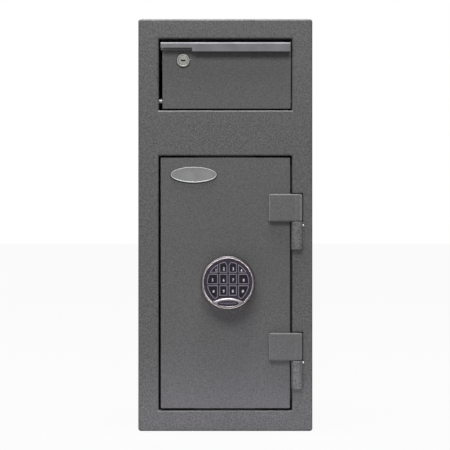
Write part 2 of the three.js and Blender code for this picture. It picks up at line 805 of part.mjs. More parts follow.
// One key, drawn on the right half of the face. Its outer edge follows the round key field.
function keyOutline({ inner, outer, bottom, top, topNotch, bottomNotch, side }, clearance) {
  const radius = keyFieldRadius + clearance;
  const left = inner - clearance;
  const right = outer + clearance;
  const low = bottom - clearance;
  const high = top + clearance;
  const points = [];
  if (bottomNotch) points.push([left, low + bottomNotch.down], [left + bottomNotch.across, low]);
  else points.push([left, low]);
  const cornerInside = Math.hypot(right, high) < radius;
  const rightInside = Math.hypot(right, low) < radius;
  if (rightInside) points.push([right, low]);
  if (cornerInside) {
    points.push([right, high], [left, high]);
  } else {
    const start = rightInside ? Math.acos(right / radius) : Math.asin(low / radius);
    const topLeft = left + (topNotch ? topNotch.across : 0);
    const reachesTop = Math.hypot(topLeft, high) < radius;
    const end = reachesTop ? Math.asin(high / radius) : Math.acos(topLeft / radius);
    for (let i = 0; i <= keyArcSteps; i += 1) {
      points.push(polar(radius, start + ((end - start) * i) / keyArcSteps));
    }
    if (topNotch) points.push([left, radius * Math.sin(end) - topNotch.down]);
    else if (reachesTop) points.push([left, high]);
  }
  return polygon(side === "left" ? points.map(([x, z]) => [-x, z]) : points);
}

const keyLayout = [
  ["key_1", keyOuterColumn, keyTopRow, "left"],
  ["key_2", keyInnerColumn, keyTopRow, "left"],
  ["key_3", keyInnerColumn, keyTopRow, "right"],
  ["key_4", keyOuterColumn, keyTopRow, "right"],
  ["key_5", keyOuterColumn, keyMiddleRow, "left"],
  ["key_6", keyInnerColumn, keyMiddleRow, "left"],
  ["key_7", keyInnerColumn, keyMiddleRow, "right"],
  ["key_8", keyOuterColumn, keyMiddleRow, "right"],
  ["key_star", keyOuterColumn, keyBottomRow, "left"],
  ["key_9", keyInnerColumn, keyBottomRow, "left"],
  ["key_0", keyInnerColumn, keyBottomRow, "right"],
  ["key_hash", keyOuterColumn, keyBottomRow, "right"],
];

function keyCell([, column, row, side]) {
  const cell = { ...column, ...row, side };
  if (column === keyInnerColumn && row === keyTopRow) cell.topNotch = keyTopNotch;
  if (column === keyOuterColumn && row === keyBottomRow) {
    cell.bottom = -keyBottomCornerDrop;
    cell.bottomNotch = keyBottomNotch;
  }
  return cell;
}

function keyCap(entry) {
  const front = -faceFront - keyProud;
  const back = -faceFront + keyPocketDepth - keyTravel - runningGap;
  return plateRoundedFront(keyOutline(keyCell(entry), 0), [front, back], keyBevel, 1);
}

function keypadFace() {
  const disc = rod(faceRadius, [-faceFront, -faceBack], "y", 48);
  const pockets = keyLayout.map((entry) =>
    plateXZ(keyOutline(keyCell(entry), runningGap), [-faceFront - 1, -faceFront + keyPocketDepth]),
  );
  return cut(disc, ...pockets);
}

function bezelOutline() {
  const corner = -Math.sqrt(bezelRadius ** 2 - bezelHalfWidth ** 2);
  const rise = bezelTop - corner;
  const topRadius = (bezelHalfWidth ** 2 + rise ** 2) / (2 * rise);
  const half = Math.asin(bezelHalfWidth / topRadius);
  const lower = Math.asin(bezelHalfWidth / bezelRadius);
  const shape = new THREE.Shape();
  shape.absarc(0, 0, bezelRadius, -Math.PI / 2 - lower, -Math.PI / 2 + lower, false);
  shape.absarc(0, bezelTop - topRadius, topRadius, Math.PI / 2 - half, Math.PI / 2 + half, false);
  return shape;
}

function keypadBezel() {
  const front = -housingHeight - bezelThickness;
  const lens = plateRoundedFront(bezelOutline(), [front, -faceFront - seam], bezelEdge, 2, 14);
  const rim = [
    [faceRadius, faceFront - 1],
    [bezelRadius + 5, faceFront - 1],
    [bezelRadius + 5, housingHeight + seam],
    [faceRadius, housingHeight + seam],
    [faceRadius, faceFront - 1],
  ];
  const field = ellipse(windowWidth, windowHeight, 0, windowZ);
  const pocket = plateXZ(field, [front - 1, front + windowDepth], 12);
  return cut(lens, turned(rim, "y", 48), pocket);
}

function keypadWindow() {
  const front = -housingHeight - bezelThickness;
  const shape = ellipse(windowWidth - 2 * runningGap, windowHeight - 2 * runningGap, 0, windowZ);
  return plateXZ(shape, [front + windowRecess, front + windowDepth - seam], 12);
}

function driveSpindle() {
  const seat = baseRingThickness + runningGap + housingBackThickness + seam;
  const profile = [
    [0, -spindleEnd],
    [spindleRadius, -spindleEnd],
    [spindleRadius, seat],
    [spindleFlangeRadius, seat],
    [spindleFlangeRadius, seat + spindleFlangeThickness],
    [0, seat + spindleFlangeThickness],
  ];
  return turned(profile, "y", 24);
}

// Involute teeth on the pinion, one of them pointing straight up between two rack teeth.
function pinionOutline() {
  const base = pinionPitchRadius * Math.cos(pressureAngle);
  const tip = pinionPitchRadius + toothAddendum;
  const root = pinionPitchRadius - toothDedendum;
  const involute = (radius) => {
    const angle = Math.acos(Math.min(base / radius, 1));
    return Math.tan(angle) - angle;
  };
  const halfAtPitch = (rackPitch / 4 - toothBacklash / 2) / pinionPitchRadius;
  const halfAt = (radius) => halfAtPitch + involute(pinionPitchRadius) - involute(radius);
  const radii = [0, 1, 2].map((i) => base + ((tip - base) * i) / 2);
  const points = [];
  for (let tooth = 0; tooth < pinionTeeth; tooth += 1) {
    const centre = Math.PI / 2 + (tooth * 2 * Math.PI) / pinionTeeth;
    points.push(polar(root, centre - halfAt(base)));
    for (const radius of radii) points.push(polar(radius, centre - halfAt(radius)));
    for (const radius of [...radii].reverse()) points.push(polar(radius, centre + halfAt(radius)));
    points.push(polar(root, centre + halfAt(base)));
  }
  return polygon(points);
}

function drivePinion() {
  const hubFront = doorThickness + lockCaseDepth + lockScrewHeight;
  const gear = plateXZ(pinionOutline(), [armFront, armBack]);
  const hub = rod(pinionHubRadius, [hubFront, armFront + 1], "y", 20);
  return cut(join(gear, hub), rod(spindleRadius + runningGap, [hubFront - 1, armBack + 1], "y", 24));
}

// Hopper, in a group on the pivot axis

function hopperFrontPanel() {
  const outline = rectangle([hopperLeft, hopperRight], [panelBottom, panelTop]);
  const panel = plateRoundedFront(outline, [panelFront, panelBack], hopperPanelEdge, 2);
  const hole = rod(lockBodyRadius + runningGap, [panelFront - 1, panelBack + 1], "y");
  return cut(panel, hole.translate(lockX, 0, lockHeight));
}

function hopperPullLip() {
  const back = panelFront - seam;
  const front = -lipFront - pivotDepth;
  const inner = lipBendRadius - lipSheet;
  const bottom = lipTop - lipFrontHeight;
  const backBottom = lipTop - lipBackHeight;
  const shape = new THREE.Shape();
  shape.moveTo(back, backBottom);
  shape.lineTo(back, lipTop);
  shape.lineTo(front + lipBendRadius, lipTop);
  shape.absarc(front + lipBendRadius, lipTop - lipBendRadius, lipBendRadius, Math.PI / 2, Math.PI, false);
  shape.lineTo(front, bottom);
  shape.lineTo(front + lipSheet, bottom);
  shape.lineTo(front + lipSheet, lipTop - lipBendRadius);
  shape.absarc(front + lipBendRadius, lipTop - lipBendRadius, inner, Math.PI, Math.PI / 2, true);
  shape.lineTo(back - lipSheet, lipTop - lipSheet);
  shape.lineTo(back - lipSheet, backBottom);
  const lip = plateYZ(shape, [lipLeft, lipRight], 6);
  const stepDepths = [front - 1, front + lipSheet + 1];
  const step = block([lipLeft - 1, -halfOpening + lipStepWidth], stepDepths, [bottom - 1, bottom + lipStepHeight]);
  return cut(lip, step);
}

// The point on the underside of the hopper's floor at the given distance from the pivot.
function underFloor(radius) {
  const [offsetY, offsetZ] = floorPoint(0, -hopperSheet);
  const cos = Math.cos(floorSlope);
  const sin = Math.sin(floorSlope);
  const along = offsetY * cos - offsetZ * sin;
  const distance = -along + Math.sqrt(along ** 2 - offsetY ** 2 - offsetZ ** 2 + radius ** 2);
  return [offsetY + distance * cos, offsetZ - distance * sin];
}

// A point given along the floor and square to it, in depth and height from the pivot.
function floorPoint(along, up) {
  const cos = Math.cos(floorSlope);
  const sin = Math.sin(floorSlope);
  return [panelBack + along * cos + up * sin, -floorDrop - along * sin + up * cos];
}

function hopperSide([left, right]) {
  const front = panelBack + seam;
  const top = Math.acos(front / sideRadius);
  const earAngle = guardLowAngle - hopperTilt - earClearance;
  const [startY, startZ] = underFloor(Math.hypot(...floorPoint(1, -hopperSheet)));
  const shape = new THREE.Shape();
  shape.moveTo(front, startZ);
  shape.lineTo(startY, startZ);
  shape.lineTo(...underFloor(earRadius));
  shape.lineTo(...polar(earRadius, earAngle));
  shape.lineTo(...polar(sideRadius, earAngle));
  shape.absarc(0, 0, sideRadius, earAngle, top, false);
  shape.closePath();
  const plate = plateYZ(shape, [left, right], 20);
  return cut(plate, rod(pivotRadius + runningGap, [left - 1, right + 1], "x", 24));
}

function hopperFloor() {
  const start = hopperSheet * Math.tan(floorSlope) + seam;
  const left = hopperLeft + hopperSheet + seam;
  const right = hopperRight - hopperSheet - seam;
  const plate = block([left, right], [start, floorLength], [-hopperSheet, 0]);
  const toothed = [left + floorPlainEnd, right - floorPlainEnd];
  const teeth = notchRow(toothed, toothPitch, toothDepth, [-1, hopperSheet + 1]);
  // The row of notches is laid flat at the back edge, pointing forward.
  teeth.rotateX(Math.PI / 2).translate(0, floorLength, 0);
  return cut(plate, teeth)
    .rotate([THREE.MathUtils.radToDeg(-floorSlope), 0, 0])
    .translate([0, panelBack, -floorDrop]);
}

function hopperCheek(side) {
  const front = frameThickness + seam - pivotDepth;
  const shape = new THREE.Shape();
  const top = Math.acos((guardRadius * Math.cos(guardHighAngle) + guardSheet) / cheekRadius);
  shape.moveTo(front, cheekBottom);
  shape.lineTo(...polar(cheekRadius, cheekLowAngle));
  shape.absarc(0, 0, cheekRadius, cheekLowAngle, top, false);
  shape.lineTo(cheekRadius * Math.cos(top), ceiling);
  shape.lineTo(front, ceiling);
  shape.closePath();
  const plate = plateYZ(shape, [-cheekInner - cheekThickness, -cheekInner], 20);
  const hole = rod(pivotRadius + runningGap, [-halfWidth, -cheekInner + 1], "x", 24);
  const reach = [-cheekInner - 1, -cheekInner + ledgeReach];
  const under = -hopperSheet - runningGap;
  const ledge = solidOf(block(reach, [ledgeStart, ledgeEnd], [under - ledgeThickness, under]))
    .rotate([THREE.MathUtils.radToDeg(-floorSlope), 0, 0])
    .translate([0, panelBack, -floorDrop]);
  const cheek = cut(join(plate, ledge), hole);
  return side === "left" ? cheek : mirroredX(cheek);
}

function antiFishingGuard() {
  const outer = guardRadius + guardSheet;
  const [flangeFront, flangeBottom] = polar(guardRadius, guardHighAngle);
  const flangeBack = flangeFront + guardSheet;
  const shape = new THREE.Shape();
  shape.moveTo(...polar(guardRadius, guardLowAngle));
  shape.lineTo(...polar(outer, guardLowAngle));
  shape.absarc(0, 0, outer, guardLowAngle, Math.acos(flangeBack / outer), false);
  shape.lineTo(flangeBack, ceiling - guardSheet);
  shape.lineTo(flangeBack + guardFlange, ceiling - guardSheet);
  shape.lineTo(flangeBack + guardFlange, ceiling);
  shape.lineTo(flangeFront, ceiling);
  shape.lineTo(flangeFront, flangeBottom);
  shape.absarc(0, 0, guardRadius, guardHighAngle, guardLowAngle, true);
  const reach = cheekInner - seam;
  const guard = plateYZ(shape, [-reach, reach], 8);
  const toothed = reach - guardPlainEnd;
  const teeth = notchRow([-toothed, toothed], toothPitch, toothDepth, [guardRadius - 3, outer + 3]);
  teeth.rotateX(guardLowAngle);
  return cut(guard, teeth);
}

// A shouldered pivot bolt for the left side, its head outside the cheek.
function pivotBolt(hopperFace) {
  const head = -cheekInner - cheekThickness - seam;
  const shoulder = -halfOpening + seam;
  const shoulderEnd = hopperFace - runningGap;
  const cap = hopperFace + hopperSheet + runningGap;
  const profile = [
    [0, head - pivotHeadThickness],
    [pivotHeadRadius, head - pivotHeadThickness],
    [pivotHeadRadius, head],
    [pivotRadius, head],
    [pivotRadius, shoulder],
    [pivotShoulderRadius, shoulder],
    [pivotShoulderRadius, shoulderEnd],
    [pivotRadius, shoulderEnd],
    [pivotRadius, cap],
    [pivotCapRadius, cap],
    [pivotCapRadius, cap + pivotCapThickness],
    [0, cap + pivotCapThickness],
  ];
  return turned(profile, "x", 12);
}

// Hopper lock, in a group on the lock's axis at the panel's front face, heights measured forward

function lockHousing() {
  const bore = lockPlugRadius + runningGap;
  const recess = lockPlugFaceRadius + runningGap;
  const recessFloor = lockHeadThickness - lockPlugFaceThickness;
  const edge = 0.8;
  const profile = [
    [bore, -lockBodyLength],
    [lockBodyRadius, -lockBodyLength],
    [lockBodyRadius, seam],
    [lockHeadRadius, seam],
    [lockHeadRadius, lockHeadThickness - edge],
    [lockHeadRadius - edge, lockHeadThickness],
    [recess, lockHeadThickness],
    [recess, recessFloor],
    [bore, recessFloor],
    [bore, -lockBodyLength],
  ];
  return turned(profile, "y");
}

function lockPlug() {
  const faceBottom = lockHeadThickness - lockPlugFaceThickness + seam;
  const faceTop = faceBottom + lockPlugFaceThickness;
  const tailTop = -lockBodyLength - runningGap;
  const tailEnd = tailTop - camThickness;
  const profile = [
    [0, tailEnd],
    [lockTailRadius, tailEnd],
    [lockTailRadius, tailTop],
    [lockPlugRadius, tailTop],
    [lockPlugRadius, faceBottom],
    [lockPlugFaceRadius, faceBottom],
    [lockPlugFaceRadius, faceTop],
    [0, faceTop],
  ];
  const keyway = block(
    [-keywayWidth / 2, keywayWidth / 2],
    [-faceTop - 1, -faceTop + keywayDepth],
    [-keywayHeight / 2, keywayHeight / 2],
  );
  const threadHole = rod(camScrewRadius + runningGap, [-tailEnd - camScrewGrip - 1, -tailEnd + 1], "y", 16);
  return cut(turned(profile, "y"), keyway, threadHole);
}

function lockCam() {
  const front = lockBodyLength + runningGap;
  const half = camWidth / 2;
  const arm = plateXZ(stadium([0, camLength - half], half), [front, front + camThickness], 10);
  return cut(arm, rod(lockTailRadius + runningGap, [front - 1, front + camThickness + 1], "y", 20));
}

function camScrew() {
  const headTop = -lockBodyLength - runningGap - camThickness - seam;
  const profile = [
    [0, headTop - camScrewHeadHeight],
    [camScrewHeadRadius, headTop - camScrewHeadHeight],
    [camScrewHeadRadius, headTop],
    [camScrewRadius, headTop],
    [camScrewRadius, headTop + camScrewGrip],
    [0, headTop + camScrewGrip],
  ];
  return turned(profile, "y", 20);
}

function lockNut() {
  const cornerRadiusOfHex = lockNutAcross / Math.sqrt(3);
  const start = hopperPanelThickness + seam;
  const hex = new THREE.CylinderGeometry(cornerRadiusOfHex, cornerRadiusOfHex, lockNutThickness, 6);
  hex.translate(0, start + lockNutThickness / 2, 0);
  return cut(hex, rod(lockBodyRadius + runningGap, [start - 1, start + lockNutThickness + 1], "y"));
}

// Assembly

const safe = new THREE.Group();
const fromFront = groupAt(safe, 0, -cabinetDepth / 2, 0);

const cabinet = groupAt(fromFront, 0, 0, 0);
piece(cabinet, "front_frame", paintedSteel, frontFrame());
piece(cabinet, "left_side_panel", paintedSteel, sidePanel("left"));
piece(cabinet, "right_side_panel", paintedSteel, sidePanel("right"));
piece(cabinet, "top_panel", paintedSteel, levelPanel(cabinetHeight - wallThickness));
piece(cabinet, "floor_panel", paintedSteel, floorPanel());
piece(cabinet, "back_panel", paintedSteel, backPanel());
piece(cabinet, "upper_door_stop", paintedSteel, doorStop(doorOpeningTop, -1));
piece(cabinet, "lower_door_stop", paintedSteel, doorStop(doorOpeningBottom, 1));

const door = groupAt(fromFront, 0, 0, 0);
piece(door, "door_panel", paintedDoor, doorPanel());

for (const [name, leafBottom] of [["upper", upperLeafBottom], ["lower", lowerLeafBottom]]) {
  const fixedHalf = groupAt(cabinet, hingeAxisX, 0, leafBottom);
  piece(fixedHalf, `${name}_hinge_barrel`, paintedSteel, hingeBarrel());
  piece(fixedHalf, `${name}_hinge_pin`, zincPlate, hingePin());
  piece(fixedHalf, `${name}_hinge_pocket`, innerPaint, hingePocket());
  const turningHalf = groupAt(door, hingeAxisX, 0, leafBottom);
  piece(turningHalf, `${name}_hinge_leaf`, paintedDoor, hingeLeaf());
}

piece(groupAt(door, badgeX, 0, badgeZ), "badge_plate", badgeMetal, badgePlate());
piece(door, "hinge_side_dog_bar", innerPaint, dogBar());
piece(door, "bolt_guide_bracket", zincPlate, boltGuideBracket());

const onSpindle = groupAt(door, keypadX, 0, keypadZ);
piece(onSpindle, "lock_case", castZinc, lockCase());
piece(onSpindle, "keypad_base_ring", darkPlastic, baseRing());
const armCentre = pinionPitchRadius + toothDedendum + armHeight / 2;
piece(groupAt(onSpindle, guidePostLeft, 0, armCentre), "left_guide_post", zincPlate, guidePost());
piece(groupAt(onSpindle, guidePostRight, 0, armCentre), "right_guide_post", zincPlate, guidePost());

const keypad = groupAt(onSpindle, 0, 0, 0);
piece(keypad, "keypad_housing", chromePlate, keypadHousing());
piece(keypad, "keypad_face", darkPlastic, keypadFace());
piece(keypad, "keypad_bezel", chromePlate, keypadBezel());
piece(keypad, "keypad_window", darkWindow, keypadWindow());
piece(keypad, "drive_spindle", zincPlate, driveSpindle());
piece(keypad, "drive_pinion", zincPlate, drivePinion());
for (const entry of keyLayout) piece(keypad, entry[0], keyRubber, keyCap(entry));

const boltwork = groupAt(onSpindle, 0, 0, 0);
piece(boltwork, "bolt_carriage", zincPlate, boltCarriage());
const [lowBolt, highBolt] = boltHeights();
piece(groupAt(door, 0, boltDepth, lowBolt), "lower_locking_bolt", chromePlate, lockingBolt());
piece(groupAt(door, 0, boltDepth, highBolt), "upper_locking_bolt", chromePlate, lockingBolt());

const onPivot = groupAt(fromFront, 0, pivotDepth, pivotHeight);
piece(onPivot, "left_hopper_cheek", innerPaint, hopperCheek("left"));
piece(onPivot, "right_hopper_cheek", innerPaint, hopperCheek("right"));
piece(onPivot, "anti_fishing_guard", innerPaint, antiFishingGuard());
piece(onPivot, "left_pivot_bolt", zincPlate, pivotBolt(hopperLeft));
piece(onPivot, "right_pivot_bolt", zincPlate, mirroredX(pivotBolt(-hopperRight)));

const hopper = groupAt(onPivot, 0, 0, 0);
piece(hopper, "hopper_front_panel", paintedDoor, hopperFrontPanel());
piece(hopper, "hopper_pull_lip", satinSteel, hopperPullLip());
piece(hopper, "left_hopper_side", innerPaint, hopperSide([hopperLeft, hopperLeft + hopperSheet]));
piece(hopper, "right_hopper_side", innerPaint, hopperSide([hopperRight - hopperSheet, hopperRight]));
piece(hopper, "hopper_floor", innerPaint, hopperFloor());

const onLock = groupAt(hopper, lockX, panelFront, lockHeight);
piece(onLock, "hopper_lock_housing", nickelLock, lockHousing());
piece(onLock, "hopper_lock_nut", zincPlate, lockNut());
piece(onLock, "hopper_lock_plug", nickelLock, lockPlug());
piece(onLock, "hopper_lock_cam", zincPlate, lockCam());
piece(onLock, "hopper_lock_screw", zincPlate, camScrew());

export default safe;
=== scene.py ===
import math
import random

import bmesh
import bpy
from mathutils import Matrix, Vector


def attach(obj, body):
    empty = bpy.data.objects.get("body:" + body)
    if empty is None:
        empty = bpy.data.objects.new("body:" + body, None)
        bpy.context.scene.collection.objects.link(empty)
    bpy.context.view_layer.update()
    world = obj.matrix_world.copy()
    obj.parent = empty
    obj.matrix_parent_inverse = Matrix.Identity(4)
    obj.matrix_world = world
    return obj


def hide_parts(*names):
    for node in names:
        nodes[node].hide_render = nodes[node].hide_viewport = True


print("stage: frame")
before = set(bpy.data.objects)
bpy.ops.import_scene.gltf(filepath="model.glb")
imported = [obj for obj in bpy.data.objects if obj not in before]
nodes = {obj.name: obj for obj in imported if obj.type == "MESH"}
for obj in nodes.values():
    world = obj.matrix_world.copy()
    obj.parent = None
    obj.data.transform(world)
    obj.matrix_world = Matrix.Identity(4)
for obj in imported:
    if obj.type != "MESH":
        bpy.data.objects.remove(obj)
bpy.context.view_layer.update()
scene = bpy.context.scene
mm = 0.001
frontY = -167.5  # the cabinet's front face


# Colours and nodes

def linearColour(hexText):
    channels = [int(hexText[i:i + 2], 16) / 255 for i in (1, 3, 5)]
    linear = [c / 12.92 if c <= 0.04045 else ((c + 0.055) / 1.055) ** 2.4 for c in channels]
    return (*linear, 1.0)


def addNode(tree, kind, inputs=None, **settings):
    node = tree.nodes.new(kind)
    for name, value in settings.items():
        setattr(node, name, value)
    for name, value in (inputs or {}).items():
        if isinstance(value, bpy.types.NodeSocket):
            tree.links.new(value, node.inputs[name])
        else:
            node.inputs[name].default_value = value
    return node


# How often a size in millimetres fits in a metre. The scale of a noise is given this way.
def perMetre(sizeMm):
    return 1000 / sizeMm


def noise(tree, place, scale, detail, roughness):
    return addNode(tree, "ShaderNodeTexNoise", {
        "Vector": place, "Scale": scale, "Detail": detail, "Roughness": roughness}).outputs["Fac"]


# Stretches the part of a noise between low and high over the given limits.
def spread(tree, value, low, high, limits=(0.0, 1.0)):
    return addNode(tree, "ShaderNodeMapRange", {
        "Value": value, "From Min": low, "From Max": high,
        "To Min": limits[0], "To Max": limits[1]}).outputs[0]


# Mixes two colours, each a hex text or another node's output.
def mixColours(tree, share, first, second):
    first, second = [linearColour(side) if isinstance(side, str) else side for side in (first, second)]
    return addNode(tree, "ShaderNodeMix", {0: share, 6: first, 7: second}, data_type="RGBA").outputs[2]


def startMaterial(name, settings):
    material = bpy.data.materials.new(name)
    material.use_nodes = True
    tree = material.node_tree
    for socket, value in settings.items():
        tree.nodes["Principled BSDF"].inputs[socket].default_value = value
    place = addNode(tree, "ShaderNodeTexCoord").outputs["Object"]
    return material, tree, place


# The last step of each material: its grain varies how rough it is and raises its surface.
def finishMaterial(material, colour, grain, look, heightMm):
    tree = material.node_tree
    shader = tree.nodes["Principled BSDF"]
    rough = spread(tree, grain, low=0.3, high=0.7, limits=look["rough"])
    bump = addNode(tree, "ShaderNodeBump", {
        "Height": grain, "Strength": look["bump"], "Distance": heightMm * mm})
    tree.links.new(colour, shader.inputs["Base Color"])
    tree.links.new(rough, shader.inputs["Roughness"])
    tree.links.new(bump.outputs["Normal"], shader.inputs["Normal"])
    return material


print("stage: materials")


# Polyester powder coat, sprayed and baked: a soft pebbled skin that is satin, not glossy.
def powderCoat(name, coat):
    material, tree, place = startMaterial(name, {"IOR": 1.5, "Specular IOR Level": coat["specular"]})
    pebbles = noise(tree, place, perMetre(coat["pebbleMm"]), detail=2.5, roughness=0.55)
    fleck = noise(tree, place, perMetre(coat["fleckMm"]), detail=3.0, roughness=0.6)
    cloud = noise(tree, place, perMetre(coat["cloudMm"]), detail=3.0, roughness=0.5)
    flecked = mixColours(tree, spread(tree, fleck, low=0.36, high=0.64), coat["dark"], coat["light"])
    clouded = mixColours(tree, spread(tree, cloud, low=0.3, high=0.7), coat["warm"], coat["cool"])
    colour = mixColours(tree, coat["cloudShare"], flecked, clouded)
    return finishMaterial(material, colour, pebbles, coat, coat["pebbleHeightMm"])


frameCoat = {
    "light": "#727272", "dark": "#404040", "warm": "#5A5A58", "cool": "#58595A",
    "pebbleMm": 2.4, "pebbleHeightMm": 0.5, "fleckMm": 2.8, "cloudMm": 45, "cloudShare": 0.3,
    "rough": (0.3, 0.4), "specular": 0.36, "bump": 0.6,
}
doorCoat = {
    "light": "#737373", "dark": "#575757", "warm": "#626261", "cool": "#606162",
    "pebbleMm": 2.8, "pebbleHeightMm": 0.4, "fleckMm": 3.0, "cloudMm": 60, "cloudShare": 0.3,
    "rough": (0.3, 0.42), "specular": 0.13, "bump": 0.45,
}
innerCoat = {
    "light": "#5C5D5E", "dark": "#525354", "warm": "#585755", "cool": "#56585A",
    "pebbleMm": 2.0, "pebbleHeightMm": 0.3, "fleckMm": 4.0, "cloudMm": 50, "cloudShare": 0.3,
    "rough": (0.4, 0.55), "specular": 0.3, "bump": 0.4,
}
# Over the hinge barrels and welds the coat lies thicker and lumpier, and it is painted lighter: painted
# highlight for the light that the round barrels catch.
weldCoatPaintedLighter = dict(
    frameCoat, light="#888888", dark="#4C4C4C", fleckMm=3.6, bump=1.0, pebbleMm=4.5, pebbleHeightMm=1.0)
# The door's coat on the hinge leaves, where it shines a little more.
leafCoat = dict(doorCoat, light="#727272", dark="#565656", specular=0.24)
texturedCoat = powderCoat("textured powder coat", frameCoat)
glossierCoat = powderCoat("powder coat on the hinge leaves", leafCoat)
lumpyCoatPaintedLighter = powderCoat("powder coat over weld metal, painted lighter", weldCoatPaintedLighter)
smoothCoat = powderCoat("smooth powder coat", doorCoat)
thinCoat = powderCoat("thin powder coat inside", innerCoat)


# Metals: the streaks follow how the surface was made, so each has its own stretch along x, y and z.
def streakedMetal(name, metal):
    material, tree, place = startMaterial(name, {"Metallic": 1.0})
    stretched = addNode(tree, "ShaderNodeMapping", {
        "Vector": place, "Scale": tuple(perMetre(size) for size in metal["streakMm"])})
    streaks = noise(tree, stretched.outputs["Vector"], 1.0, detail=3.0, roughness=0.6)
    bloom = noise(tree, place, perMetre(metal["bloomMm"]), detail=2.0, roughness=0.5)
    colour = mixColours(tree, spread(tree, bloom, low=0.35, high=0.65), metal["dark"], metal["light"])
    return finishMaterial(material, colour, streaks, metal, metal["streakHeightMm"])


# Satin chrome on a moulded housing: a soft grain spreads what it mirrors.
satinChrome = streakedMetal("satin chrome plate on moulded ABS", {
    "light": "#8D888E", "dark": "#817C82", "streakMm": (10, 10, 10), "streakHeightMm": 0.05,
    "bloomMm": 20, "rough": (0.36, 0.42), "bump": 0.04})
# The same plate made darker on all of the ring but its bead: painted reflection, standing in for dark
# surroundings mirrored in the ring's sides.
chromeWithPaintedReflection = streakedMetal("chrome plate with painted dark reflection", {
    "light": "#545155", "dark": "#4B494C", "streakMm": (14, 14, 14), "streakHeightMm": 0.05,
    "bloomMm": 20, "rough": (0.35, 0.41), "bump": 0.03})
# Electroplated zinc on pressed steel: satin, clouded a little yellow and blue.
zincOnSteel = streakedMetal("bright zinc plate on steel", {
    "light": "#A3A5A3", "dark": "#94969A", "streakMm": (0.8, 6, 6), "streakHeightMm": 0.04,
    "bloomMm": 12, "rough": (0.24, 0.38), "bump": 0.3})
# Zinc plate gone dull, on the pivot that shows in the gap.
dullZinc = streakedMetal("dulled zinc plate", {
    "light": "#8E9092", "dark": "#7E8184", "streakMm": (1.0, 1.0, 1.0), "streakHeightMm": 0.05,
    "bloomMm": 6, "rough": (0.4, 0.56), "bump": 0.4})
# Turned bar: fine rings across it, drawn for the locking bolts, which lie along x.
turnedSteel = streakedMetal("turned bright steel", {
    "light": "#C2C4C6", "dark": "#B6B8BB", "streakMm": (0.5, 40, 40), "streakHeightMm": 0.03,
    "bloomMm": 25, "rough": (0.14, 0.26), "bump": 0.35})
# Pressure die-cast zinc: dull, with a fine sandy skin.
dieCastZinc = streakedMetal("die-cast zinc", {
    "light": "#94969A", "dark": "#85878B", "streakMm": (1.2, 1.2, 1.2), "streakHeightMm": 0.12,
    "bloomMm": 15, "rough": (0.42, 0.58), "bump": 0.5})
# Satin nickel on the cam lock: a fine even grain.
satinNickel = streakedMetal("satin nickel plate on zinc", {
    "light": "#989894", "dark": "#8A8A86", "streakMm": (1.5, 1.5, 1.5), "streakHeightMm": 0.03,
    "bloomMm": 5, "rough": (0.26, 0.36), "bump": 0.25})
# Rolled steel strip, brushed along its length.
brushedStrip = streakedMetal("brushed steel strip", {
    "light": "#6A696C", "dark": "#616063", "streakMm": (60, 0.9, 0.9), "streakHeightMm": 0.03,
    "bloomMm": 30, "rough": (0.47, 0.57), "bump": 0.3})
# Badge: aluminium sheet brushed sideways, with a raised polished rim.
brushedAluminium = streakedMetal("brushed aluminium", {
    "light": "#8A8988", "dark": "#7E807F", "streakMm": (30, 0.7, 0.7), "streakHeightMm": 0.03,
    "bloomMm": 18, "rough": (0.3, 0.42), "bump": 0.35})
polishedAluminium = streakedMetal("polished aluminium", {
    "light": "#A2A4A4", "dark": "#989B9B", "streakMm": (8, 8, 8), "streakHeightMm": 0.02,
    "bloomMm": 8, "rough": (0.5, 0.56), "bump": 0.05})
# A bare spot of weld metal, where the paint has gone.
bareWeld = streakedMetal("bare weld metal", {
    "light": "#B4B4B0", "dark": "#9C9C98", "streakMm": (1.5, 1.5, 1.5), "streakHeightMm": 0.05,
    "bloomMm": 3, "rough": (0.2, 0.34), "bump": 0.4})


# Moulded plastics, rubber, print and dull blacks: a fine even grain.
def mouldedPlastic(name, plastic):
    material, tree, place = startMaterial(name, {
        "IOR": plastic["ior"], "Specular IOR Level": plastic["specular"]})
    grain = noise(tree, place, perMetre(plastic["grainMm"]), detail=2.0, roughness=0.5)
    tone = noise(tree, place, perMetre(plastic["toneMm"]), detail=2.0, roughness=0.5)
    colour = mixColours(tree, spread(tree, tone, low=0.35, high=0.65), plastic["dark"], plastic["light"])
    return finishMaterial(material, colour, grain, plastic, plastic["grainHeightMm"])


# The keypad's face and the ring on the door behind it.
violetAbs = mouldedPlastic("violet-black ABS", {
    "light": "#37313F", "dark": "#2D2835", "grainMm": 0.9, "grainHeightMm": 0.05, "toneMm": 15,
    "rough": (0.32, 0.46), "bump": 0.3, "ior": 1.53, "specular": 0.25})
keyRubber = mouldedPlastic("silicone rubber keys", {
    "light": "#1E1A25", "dark": "#17141D", "grainMm": 0.8, "grainHeightMm": 0.04, "toneMm": 10,
    "rough": (0.4, 0.52), "bump": 0.25, "ior": 1.42, "specular": 0.25})
# A pale outline round the front of each key, in one flat colour.
keyOutlinePale = mouldedPlastic("pale outline round the keys", {
    "light": "#8B8692", "dark": "#7E7985", "grainMm": 0.9, "grainHeightMm": 0.02, "toneMm": 8,
    "rough": (0.38, 0.46), "bump": 0.2, "ior": 1.5, "specular": 0.3})
keyFigurePrint = mouldedPlastic("white print of the figures", {
    "light": "#E6E2EA", "dark": "#DAD6DF", "grainMm": 0.9, "grainHeightMm": 0.01, "toneMm": 8,
    "rough": (0.36, 0.44), "bump": 0.2, "ior": 1.5, "specular": 0.3})
smokedLens = mouldedPlastic("smoked acrylic lens", {
    "light": "#2A1A30", "dark": "#1C1222", "grainMm": 6, "grainHeightMm": 0.01, "toneMm": 12,
    "rough": (0.08, 0.12), "bump": 0.1, "ior": 1.49, "specular": 0.24})
